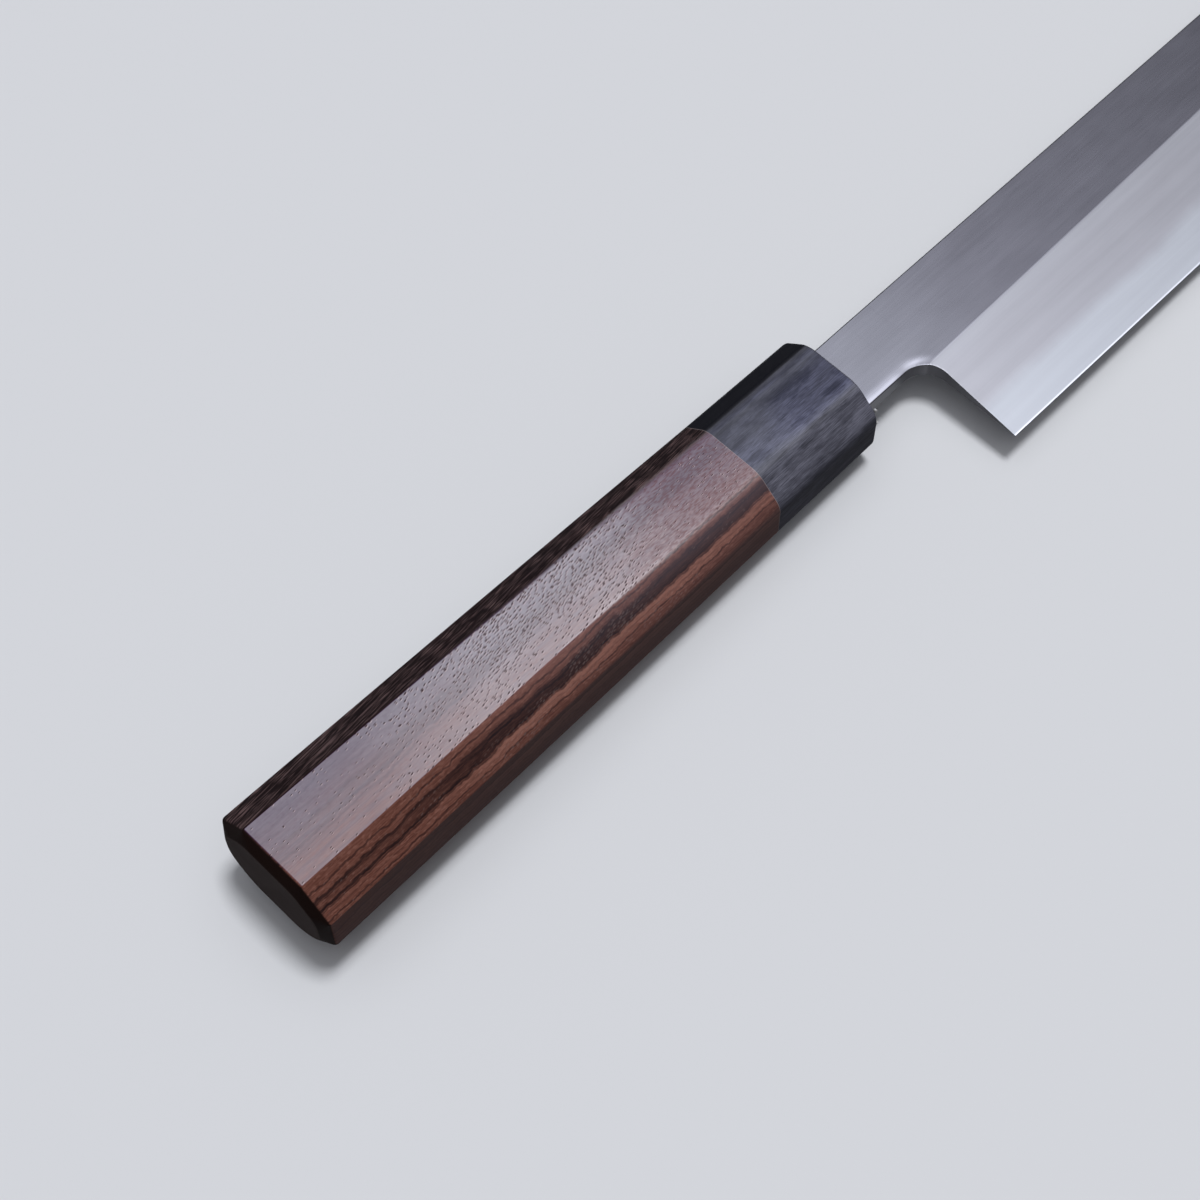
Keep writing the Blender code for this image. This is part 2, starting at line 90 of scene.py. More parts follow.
def rounded_ring(bm: Mesh, corners: Sequence[Vector], width: float, segments: int) -> list[MeshEdge]:
    """Adds a closed ring of edges through some corners, each rounded off.

    Args:
        bm: Mesh that gets the ring.
        corners: Corners of the ring, in order.
        width: Distance from a corner at which its rounding starts.
        segments: Steps in each rounding.

    Returns:
        The edges of the ring.
    """
    before = set(bm.faces)
    start = bm.faces.new([bm.verts.new(corner) for corner in corners])
    bmesh.ops.bevel(bm, geom=list(start.verts), offset=width, segments=segments, profile=0.5,
                    affect="VERTICES", material=-1)
    ring_face = next(face for face in bm.faces if face not in before)
    edges = list(ring_face.edges)
    bmesh.ops.delete(bm, geom=[ring_face], context="FACES_ONLY")
    return edges


def circle_ring(bm: Mesh, x: float, radius: float, segments: int) -> list[MeshEdge]:
    """Adds a circle about the handle's axis.

    Args:
        bm: Mesh that gets the circle.
        x: Station of the circle.
        radius: Its radius.
        segments: Its number of edges.

    Returns:
        The edges of the circle.
    """
    turn = Matrix.Translation((x, 0, 0)) @ Matrix.Rotation(math.pi / 2, 4, "Y")
    made = bmesh.ops.create_circle(bm, segments=segments, radius=radius, matrix=turn)
    return list({edge for vert in made["verts"] for edge in vert.link_edges})


def box_corners(x: float, half_height: float, half_thickness: float) -> list[Vector]:
    """Four corners of an upright rectangle about the handle's axis."""
    quarters = ((1, 1), (-1, 1), (-1, -1), (1, -1))
    return [Vector((x, half_height * y, half_thickness * z)) for y, z in quarters]


def bridge(bm: Mesh, rings: Sequence[Sequence[MeshEdge]]) -> None:
    """Joins each ring to the next with a band of faces."""
    for near, far in zip(rings, rings[1:]):
        bmesh.ops.bridge_loops(bm, edges=list(near) + list(far))


def loft(sections: Sequence[Sequence[Vector]]) -> Mesh:
    """Closed mesh through plain sections, capped at both ends.

    Args:
        sections: Corners of each section, equally many in each.

    Returns:
        The new mesh.
    """
    bm = bmesh.new()
    rings = []
    for section in sections:
        face = bm.faces.new([bm.verts.new(corner) for corner in section])
        rings.append(list(face.edges))
        bmesh.ops.delete(bm, geom=[face], context="FACES_ONLY")
    bridge(bm, rings)
    for end in (rings[0], rings[-1]):
        bmesh.ops.contextual_create(bm, geom=end)
    return bm


def on_station(edge: MeshEdge, x: float) -> bool:
    """True for an edge that lies in the cross-section at a station."""
    return all(abs(vert.co.x - x) < MERGE_DISTANCE for vert in edge.verts)


def split_at(bm: Mesh, place: Vector, normal: Vector, faces: Sequence[MeshFace]) -> None:
    """Adds edges where a plane crosses some faces.

    Args:
        bm: Mesh that holds the faces.
        place: A point of the plane.
        normal: Direction square to the plane.
        faces: Faces that may be split.
    """
    edges = {edge for face in faces for edge in face.edges}
    verts = {vert for face in faces for vert in face.verts}
    bmesh.ops.bisect_plane(bm, geom=[*faces, *edges, *verts], dist=MERGE_DISTANCE, plane_co=place,
                           plane_no=normal)


def closed_object(name: str, bm: Mesh) -> Piece:
    """Object at the origin with a finished mesh, its doubles merged and its faces turned outwards.

    Args:
        name: Name of the object.
        bm: Its mesh, which is freed.

    Returns:
        The new object.
    """
    bmesh.ops.remove_doubles(bm, verts=bm.verts, dist=MERGE_DISTANCE)
    bmesh.ops.recalc_face_normals(bm, faces=bm.faces)
    mesh = bpy.data.meshes.new(name)
    bm.to_mesh(mesh)
    bm.free()
    made = bpy.data.objects.new(name, mesh)
    bpy.context.scene.collection.objects.link(made)
    return made


def evaluated(holder: Piece) -> Mesh:
    """Applies the modifiers of an object and removes it.

    Args:
        holder: Object with modifiers.

    Returns:
        The mesh that they make.
    """
    graph = bpy.context.evaluated_depsgraph_get()
    mesh = bpy.data.meshes.new_from_object(holder.evaluated_get(graph))
    bm = bmesh.new()
    bm.from_mesh(mesh)
    bpy.data.meshes.remove(mesh)
    bpy.data.meshes.remove(holder.data)
    return bm


class Combine(Enum):
    """How a tool's space is used on a body."""

    TAKE_AWAY = "DIFFERENCE"
    KEEP_ONLY = "INTERSECT"


def combined(body: Mesh, tools: Sequence[tuple[Mesh, Combine]]) -> Mesh:
    """Mesh of a body after tools have cut it.

    Args:
        body: Closed mesh that is cut. It is left as it was.
        tools: Closed meshes and how each is used. They are left as they were.

    Returns:
        The new mesh.
    """
    holder = closed_object("body", body.copy())
    cutters = []
    for tool, use in tools:
        cutter = closed_object("tool", tool.copy())
        cutters.append(cutter)
        step = holder.modifiers.new("cut", "BOOLEAN")
        step.operation = use.value
        step.solver = "EXACT"
        step.object = cutter
    result = evaluated(holder)
    for cutter in cutters:
        bpy.data.meshes.remove(cutter.data)
    return result


def smooth(piece: Piece, sharp_degrees: float) -> None:
    """Smooth shading that keeps broad faces flat and arrises sharp.

    Args:
        piece: Object to shade. Edges that are already sharp stay so.
        sharp_degrees: Angle past which an edge is sharp.
    """
    kept = [edge.use_edge_sharp for edge in piece.data.edges]
    piece.data.shade_smooth()
    piece.data.set_sharp_from_angle(angle=math.radians(sharp_degrees))
    for edge, was_sharp in zip(piece.data.edges, kept):
        edge.use_edge_sharp = edge.use_edge_sharp or was_sharp
    normals = piece.modifiers.new("flat_facets", "WEIGHTED_NORMAL")
    normals.keep_sharp = True
    normals.weight = FACE_AREA_WEIGHT


def dress(piece: Piece, material: Material) -> None:
    """Gives a piece one material all over.

    Args:
        piece: Object to dress.
        material: Its only material from then on.
    """
    if not piece.material_slots:
        piece.data.materials.append(material)
    for holder in piece.material_slots:
        holder.material = material


# Shader tools


def sum_of(operation: str, value_first: bool = True) -> Callable[["Value", "Setting"], "Value"]:
    """Operator that adds the node of a sum on a value and another number.

    Args:
        operation: Operation of the node.
        value_first: False where the value stands behind the sign.

    Returns:
        The operator.
    """
    def operator(value: "Value", other: "Setting") -> "Value":
        """Result of the sum."""
        return value.graph.math(operation, *((value, other) if value_first else (other, value)))

    return operator


class Value:
    """Output of a node. Signs between values and numbers add the nodes of that sum."""

    def __init__(self, graph: "Graph", socket: Socket) -> None:
        """Holds an output and the graph that it belongs to."""
        self.graph = graph
        self.socket = socket

    __add__ = __radd__ = sum_of("ADD")
    __sub__ = sum_of("SUBTRACT")
    __rsub__ = sum_of("SUBTRACT", value_first=False)
    __mul__ = __rmul__ = sum_of("MULTIPLY")
    __truediv__ = sum_of("DIVIDE")
    __rtruediv__ = sum_of("DIVIDE", value_first=False)
    at_least = sum_of("MAXIMUM")
    at_most = sum_of("MINIMUM")

    def __abs__(self) -> "Value":
        """Size of the number without its sign."""
        return self.graph.math("ABSOLUTE", self)

    def step(self, low: "Setting", high: "Setting", start: "Setting" = 0.0, end: "Setting" = 1.0) -> "Value":
        """Smooth step from start to end while the number goes from low to high."""
        inputs = {"Value": self, "From Min": low, "From Max": high, "To Min": start, "To Max": end}
        return self.graph.put("ShaderNodeMapRange", inputs, interpolation_type="SMOOTHSTEP")

    def towards(self, end: "Setting", share: "Setting") -> "Value":
        """Colour a given share of the way from this one to another."""
        return self.graph.blend(share, self, end)

    def scaled(self, factors: "Setting") -> "Value":
        """Vector or colour with each part multiplied by its own factor."""
        return self.graph.put("ShaderNodeVectorMath", {0: self, 1: factors}, operation="MULTIPLY")

    def parts(self) -> list["Value"]:
        """The three parts of a vector."""
        return list(self.graph.spread("ShaderNodeSeparateXYZ", {0: self}).values())


Setting = float | Sequence[float] | Value
Inputs = Mapping[str | int, Setting]


class Graph:
    """Adds and joins the nodes of one material, node group or world."""

    def __init__(self, tree: Tree) -> None:
        """Starts on a node tree, which keeps the nodes that it has."""
        self.tree = tree

    def add(self, kind: str, inputs: Inputs, **options: object) -> Node:
        """Adds a node.

        Args:
            kind: Type of the node.
            inputs: Value or source of each input that is set, by name or place.
            options: Other settings of the node.

        Returns:
            The new node.
        """
        node = self.tree.nodes.new(kind)
        node.location = (len(self.tree.nodes) * NODE_SPACING, 0.0)
        for name, value in options.items():
            setattr(node, name, value)
        for name, value in inputs.items():
            self.feed(node.inputs[name], value)
        return node

    def feed(self, socket: Socket, value: Setting) -> None:
        """Sets an input, or joins a source to it.

        Args:
            socket: The input.
            value: Its fixed value or its source.
        """
        if isinstance(value, Value):
            self.tree.links.new(value.socket, socket)
        elif socket.type == "RGBA":
            socket.default_value = (*value, 1.0)
        else:
            socket.default_value = value

    def put(self, kind: str, inputs: Inputs, output: str | int = 0, **options: object) -> Value:
        """Adds a node and gives one of its outputs."""
        return Value(self, self.add(kind, inputs, **options).outputs[output])

    def spread(self, kind: str, inputs: Inputs, **options: object) -> dict[str, Value]:
        """Adds a node and gives all its outputs by name."""
        return {output.name: Value(self, output) for output in self.add(kind, inputs, **options).outputs}

    def math(self, operation: str, *values: Setting) -> Value:
        """Result of a sum on numbers."""
        return self.put("ShaderNodeMath", dict(enumerate(values)), operation=operation)

    def vector(self, x: Setting, y: Setting = 0.0, z: Setting = 0.0) -> Value:
        """Vector or colour of three numbers."""
        return self.put("ShaderNodeCombineXYZ", {0: x, 1: y, 2: z})

    def blend(self, share: Setting, start: Setting, end: Setting) -> Value:
        """Colour a given share of the way from start to end."""
        return self.put("ShaderNodeMix", {0: share, 6: start, 7: end}, output=2, data_type="RGBA")

    def noise(self, vector: Value, detail: Setting, roughness: float = 0.5) -> Value:
        """Soft random value from about 0.2 to 0.8."""
        inputs = {"Vector": vector, "Scale": 1.0, "Detail": detail, "Roughness": roughness}
        return self.put("ShaderNodeTexNoise", inputs)

    def bump(self, height: Value, distance: float, strength: float, **normal: Value) -> Value:
        """Normal of a surface, or of a given Normal, raised by a height times a distance in metres."""
        inputs = {"Height": height, "Distance": distance, "Strength": strength, **normal}
        return self.put("ShaderNodeBump", inputs)

    def coordinates(self, kind: str) -> Value:
        """Texture coordinates of one kind."""
        return self.put("ShaderNodeTexCoord", {}, kind)

    def effect(self, group: Tree, **inputs: Setting) -> dict[str, Value]:
        """Adds a shared effect with this material's own values and gives what comes out of it."""
        return self.spread("ShaderNodeGroup", inputs, node_tree=group)


class Effect(Graph):
    """A shader effect that several materials share, as a node group."""

    def __init__(self, name: str, inputs: Mapping[str, float | None], outputs: Sequence[str]) -> None:
        """Makes the group.

        Args:
            name: Name of the group.
            inputs: Default of each number that goes in, or None for a vector.
            outputs: Names of the numbers that come out.
        """
        super().__init__(bpy.data.node_groups.new(name, "ShaderNodeTree"))
        for label, default in inputs.items():
            kind = "NodeSocketVector" if default is None else "NodeSocketFloat"
            socket = self.tree.interface.new_socket(label, in_out="INPUT", socket_type=kind)
            if default is not None:
                socket.default_value = default
        for label in outputs:
            self.tree.interface.new_socket(label, in_out="OUTPUT", socket_type="NodeSocketFloat")
        self.source = self.tree.nodes.new("NodeGroupInput")
        self.result = self.tree.nodes.new("NodeGroupOutput")

    def take(self, label: str) -> Value:
        """One of the values that go in."""
        return Value(self, self.source.outputs[label])

    def stretched(self, length: Setting, width: Setting) -> Value:
        """The vector that goes in, with a length along X and a width across it as its units."""
        across = 1.0 / width
        return self.take("Vector").scaled(self.vector(1.0 / length, across, across))

    def give(self, outputs: Mapping[str, Value]) -> Tree:
        """Sets the values that come out and gives the finished group.

        Args:
            outputs: Source of each value that comes out.

        Returns:
            The node group.
        """
        for label, value in outputs.items():
            self.feed(self.result.inputs[label], value)
        return self.tree


def fibre_effect() -> Tree:
    """Long soft streaks along X, as wood fibres or grinding marks make.

    Returns:
        The node group.
    """
    effect = Effect("fibres", {"Vector": None, "Length": 12.0, "Width": 0.3, "Detail": 2.0}, ["Value"])
    place = effect.stretched(effect.take("Length"), effect.take("Width"))
    return effect.give({"Value": effect.noise(place, effect.take("Detail"), 0.55)})


def growth_effect() -> Tree:
    """Wavy growth layers of wood: how far through its layer a point is, and how marked that layer is.

    Returns:
        The node group.
    """
    effect = Effect("growth_layers", {"Vector": None, "Across": None, "Shift": 0.0, "Spacing": 2.0,
                                      "Waviness": 1.0}, ["Phase", "Strength"])
    vector = effect.take("Vector")
    level = effect.put("ShaderNodeVectorMath", {0: vector, 1: effect.take("Across")}, "Value",
                       operation="DOT_PRODUCT")
    height = level + effect.take("Shift")
    for scales, depth in GROWTH_WAVES:
        swing = effect.noise(vector.scaled(scales), 1.0) - 0.5
        height = swing * effect.take("Waviness") * depth + height
    height = height / effect.take("Spacing")
    layer = effect.math("FLOOR", height)
    strength = effect.put("ShaderNodeTexWhiteNoise", {"W": layer}, "Value", noise_dimensions="1D")
    return effect.give({"Phase": height - layer, "Strength": strength})


def vessel_effect() -> Tree:
    """Open pores of hardwood on a surface laid flat in X and Y, as short dashes: 1 in a pore, 0 beside it.

    Presence is the share of the places for a pore that have one.

    Returns:
        The node group.
    """
    effect = Effect("vessels", {"Vector": None, "Length": 1.5, "Width": 0.5, "Openness": 0.3,
                                "Presence": 1.0}, ["Pore"])
    place = effect.stretched(effect.take("Length"), effect.take("Width"))
    cells = effect.spread("ShaderNodeTexVoronoi", {"Vector": place, "Scale": 1.0, "Randomness": 1.0},
                          voronoi_dimensions="2D")
    draws = effect.spread("ShaderNodeSeparateColor", {0: cells["Color"]})
    left_out = 1.0 - effect.take("Presence")
    smallest = left_out + 0.001
    grown = draws["Red"].step(smallest, smallest + 0.35, 0.60, 1.0)
    there = effect.math("GREATER_THAN", draws["Red"], left_out)
    reach = effect.take("Openness") * grown
    inside = cells["Distance"].step(reach * 0.60, reach, 1.0, 0.0)
    return effect.give({"Pore": inside * (draws["Green"].step(0.0, 0.8, 0.62, 1.0) * there)})


def cloud_effect() -> Tree:
    """Large soft patches left by hands, rubbing and oil: around 0.5, and never far from it.

    Returns:
        The node group.
    """
    effect = Effect("clouds", {"Vector": None, "Size": 12.0}, ["Value"])
    place = effect.stretched(effect.take("Size") * 2.2, effect.take("Size"))
    return effect.give({"Value": effect.noise(place, 3.0, 0.6)})


def polish_effect() -> Tree:
    """How well rubbed a face of the handle is: broad top and bottom fully, slanting facets a little.

    Arris says how much of that polish runs on over the rounding between two facets.

    Returns:
        The node group.
    """
    effect = Effect("facet_polish", {"Slanting": 0.15, "Arris": 1.0},
                    ["Share", "Broad", "Side", "Rim", "End"])
    lengthwise, sideways, upright = [abs(part) for part in effect.coordinates("Normal").parts()]
    arris = effect.take("Arris")
    rubbed = upright.step(arris.step(0.0, 1.0, 0.970, 0.780), arris.step(0.0, 1.0, 0.999, 0.992))
    share = rubbed.step(0.0, 1.0, effect.take("Slanting"), 1.0)
    return effect.give({"Share": share * upright.step(0.30, 0.60), "Broad": upright.step(0.920, 0.992),
                        "Side": sideways.step(0.85, 0.98), "Rim": lengthwise.step(0.30, 0.60),
                        "End": lengthwise.step(0.86, 0.97)})


# Sizes that several pieces share


@dataclass(frozen=True)
class OctagonTaper:
    """Tapering octagonal section that handle body and ferrule share."""

    length: float = 0.1300
    butt_height: float = 0.0256
    butt_thickness: float = 0.0194
    butt_facet_y: float = 0.0060
    butt_facet_z: float = 0.0053
    front_height: float = 0.0222
    front_thickness: float = 0.0186
    front_facet_y: float = 0.0053
    front_facet_z: float = 0.0048

    def corners(self, x: float, inset: float) -> list[Vector]:
        """Eight corners of the section at a station.

        Args:
            x: The station.
            inset: Distance by which every side is drawn in.

        Returns:
            The corners, in order round the section.
        """
        share = x / self.length
        half_height = mix(self.butt_height, self.front_height, share) / 2
        half_thickness = mix(self.butt_thickness, self.front_thickness, share) / 2
        facet_y = mix(self.butt_facet_y, self.front_facet_y, share)
        facet_z = mix(self.butt_facet_z, self.front_facet_z, share)
        facet_length = math.hypot(facet_y, facet_z)
        normal_y = facet_z / facet_length
        normal_z = facet_y / facet_length
        reach = normal_y * half_height + normal_z * (half_thickness - facet_z) - inset
        side = half_height - inset
        top = half_thickness - inset
        quarter = [(side, (reach - normal_y * side) / normal_z), ((reach - normal_z * top) / normal_y, top)]
        upper = quarter + [(-y, z) for y, z in reversed(quarter)]
        lower = [(-y, -z) for y, z in upper]
        return [Vector((x, y, z)) for y, z in upper + lower]


@dataclass(frozen=True)
class Joinery:
    """Sizes of the joints inside the handle."""

    joint_x: float = 0.1050
    dowel_diameter: float = 0.0136
    dowel_in_body: float = 0.0180
    dowel_in_ferrule: float = 0.0160
    bore_diameter: float = 0.0120
    bore_past_tang: float = 0.0030
    drill_point_degrees: float = 118.0
    shoulder_x: float = 0.1275
    fit_gap: float = 0.0003
    seal_wall: float = 0.0006
    seal_depth: float = 0.0018
    seal_proud: float = 0.0003

    @property
    def socket_radius(self) -> float:
        """Radius of the round socket that the dowel fits."""
        return self.dowel_diameter / 2 + self.fit_gap


TAPER = OctagonTaper()
JOINERY = Joinery()


@dataclass(frozen=True)
class BladeLines:
    """Outline, thicknesses and layers of the blade with its neck and tang."""

    length: float = 0.1800
    height: float = 0.0356
    neck_height: float = 0.0144
    neck_length: float = 0.0170
    choil_radius: float = 0.0052
    clip_run: float = 0.0310
    clip_corner_radius: float = 0.0030
    tang_end_x: float = 0.0340
    tang_shoulder_width: float = 0.0100
    tang_end_width: float = 0.0055
    spine_thickness: float = 0.0032
    point_thickness: float = 0.0018
    tang_end_thickness: float = 0.0022
    edge_land: float = 0.00012
    bevel_at_heel: float = 0.0193
    bevel_at_point: float = 0.0232
    steel_shown_at_heel: float = 0.0085
    steel_shown_at_point: float = 0.0110
    steel_layer_at_heel: float = 0.00115
    steel_layer_at_point: float = 0.00075
    steel_below_spine: float = 0.0012
    steel_behind_heel: float = 0.0030
    taper_blend: float = 0.0180

    @property
    def heel_x(self) -> float:
        """Station of the heel."""
        return TAPER.length + self.neck_length

    @property
    def point_x(self) -> float:
        """Station of the point."""
        return self.heel_x + self.length

    @property
    def spine_y(self) -> float:
        """Place of the spine."""
        return self.neck_height / 2

    @property
    def edge_y(self) -> float:
        """Place of the cutting edge."""
        return self.spine_y - self.height

    @property
    def back_z(self) -> float:
        """Level of the flat back."""
        return -self.spine_thickness / 2

    def along(self, x: float) -> float:
        """Share of the way from heel to point."""
        return (x - self.heel_x) / self.length

    def ridge_y(self, x: float) -> float:
        """Place of the ridge between the flat and the bevel."""
        return self.edge_y + mix(self.bevel_at_heel, self.bevel_at_point, self.along(x))

    def up_tang(self, x: float) -> float:
        """Share of the way from the tang's end to its shoulder."""
        return (x - self.tang_end_x) / (JOINERY.shoulder_x - self.tang_end_x)

    def tang_half_width(self, x: float) -> float:
        """Half the tang's width at a station behind its shoulder."""
        return mix(self.tang_end_width, self.tang_shoulder_width, self.up_tang(x)) / 2

    def flat_thickness(self, x: float) -> float:
        """Thickness behind the ridge: level at the neck, then easing into its taper.

        Args:
            x: The station.

        Returns:
            The thickness there.
        """
        if x < JOINERY.shoulder_x:
            return mix(self.tang_end_thickness, self.spine_thickness, self.up_tang(x))
        past_heel = x - self.heel_x
        if abs(past_heel) < self.taper_blend:
            past_heel = (past_heel + self.taper_blend) ** 2 / (4 * self.taper_blend)
        taper = max(0.0, past_heel) / self.length
        return mix(self.spine_thickness, self.point_thickness, taper)

    def thickness(self, x: float, y: float) -> float:
        """Full thickness above the flat back.

        Args:
            x: Station of a place on the blade.
            y: How high it lies.

        Returns:
            The thickness there.
        """
        behind_ridge = self.flat_thickness(x)
        ridge = self.ridge_y(x)
        if y >= ridge:
            return behind_ridge
        return mix(self.edge_land, behind_ridge, (y - self.edge_y) / (ridge - self.edge_y))


LINES = BladeLines()


def blade_zone_effect() -> Tree:
    """Where a point lies on the blade, in millimetres, and the soft line between the two metals.

    Returns:
        The node group.
    """
    effect = Effect("blade_zones", {"Vector": None}, ["From Edge", "From Ridge", "Hard"])
    x, y, _ = effect.take("Vector").parts()
    along = (x - LINES.heel_x * MILLIMETRES) / (LINES.length * MILLIMETRES)
    from_edge = y - LINES.edge_y * MILLIMETRES
    widths = []
    for at_heel, at_point in ((LINES.bevel_at_heel, LINES.bevel_at_point),
                              (LINES.steel_shown_at_heel, LINES.steel_shown_at_point)):
        widths.append(along * ((at_point - at_heel) * MILLIMETRES) + at_heel * MILLIMETRES)
    bevel, toe = widths
    only_x = effect.vector(x)
    slow, quick = [(effect.noise(only_x.scaled((scale, 0.0, 0.0)), detail) - 0.5) * depth
                   for scale, detail, depth in WELD_WAVES]
    hard = (from_edge - toe - (slow + quick)).step(-WELD_HAZE_WIDTH, 0.0, 1.0, 0.0)
    return effect.give({"From Edge": from_edge, "From Ridge": bevel - from_edge, "Hard": hard})


# Finishes


@dataclass(frozen=True)
class Effects:
    """The shared effects, built once."""

    fibres: Tree
    growth: Tree
    vessels: Tree
    clouds: Tree
    polish: Tree
    blade_zones: Tree


class Coating(Graph):
    """Nodes of one new material."""

    def __init__(self, name: str) -> None:
        """Makes the material.

        Args:
            name: Name of the material.
        """
        self.material = bpy.data.materials.new(name)
        self.material.use_nodes = True
        super().__init__(self.material.node_tree)
        self.shader = self.tree.nodes["Principled BSDF"]

    def finish(self, inputs: Inputs) -> Material:
        """Sets inputs of the shader and gives the material.

        Args:
            inputs: Value or source of each input that is set.

        Returns:
            The finished material.
        """
        for name, value in inputs.items():
            self.feed(self.shader.inputs[name], value)
        return self.material


class Surface(Coating):
    """Nodes of a material that changes over the object, by its place there in millimetres."""

    def __init__(self, name: str, effects: Effects) -> None:
        """Makes the material.

        Args:
            name: Name of the material.
            effects: The shared effects.
        """
        super().__init__(name)
        self.effects = effects
        self.place = self.coordinates("Object").scaled((MILLIMETRES,) * 3)
        self.x, self.y, self.z = self.place.parts()

    def fibres(self, length: float, width: float, detail: float, place: Value | None = None) -> Value:
        """Soft streaks along X, by default on Object coordinates."""
        return self.effect(self.effects.fibres, Vector=self.place if place is None else place, Length=length,
                           Width=width, Detail=detail)["Value"]

    def clouds(self, size: float) -> Value:
        """Soft patches of a size."""
        return self.effect(self.effects.clouds, Vector=self.place, Size=size)["Value"]

    def growth(self, across: Colour, shift: float, spacing: float, waviness: float = 1.0) -> dict[str, Value]:
        """Growth layers that lie across a direction."""
        return self.effect(self.effects.growth, Vector=self.place, Across=across, Shift=shift,
                           Spacing=spacing, Waviness=waviness)

    def vessels(self, place: Value, size: Zone, presence: Setting = 1.0) -> Value:
        """Pores of a length, width and openness on a surface laid flat."""
        length, width, openness = size
        return self.effect(self.effects.vessels, Vector=place, Length=length, Width=width, Openness=openness,
                           Presence=presence)["Pore"]

    def unrolled(self, radius: float) -> Value:
        """Coordinates of a surface round the X axis laid flat: X stays, and Y is the way round it."""
        return self.vector(self.x, self.math("ARCTAN2", self.y, self.z) * radius)

    def turned(self, place: Value, degrees: float, shift: float = 0.0) -> Value:
        """Flat coordinates turned by an angle and shifted along Y."""
        return self.put("ShaderNodeMapping", {"Vector": place, "Location": (0.0, shift, 0.0),
                                              "Rotation": (0.0, 0.0, math.radians(degrees))})

    def past_arris(self) -> Value:
        """How far a place lies beyond the top facet's +Y corner.

        Returns:
            The distance, less than 0 on the top facet.
        """
        at_butt = (TAPER.butt_height / 2 - TAPER.butt_facet_y) * MILLIMETRES
        at_front = (TAPER.front_height / 2 - TAPER.front_facet_y) * MILLIMETRES
        return self.y - self.x.step(0.0, TAPER.length * MILLIMETRES, at_butt, at_front)

    def from_joint(self) -> Value:
        """How far a place lies from the joint of body and ferrule."""
        return abs(self.x - JOINERY.joint_x * MILLIMETRES)


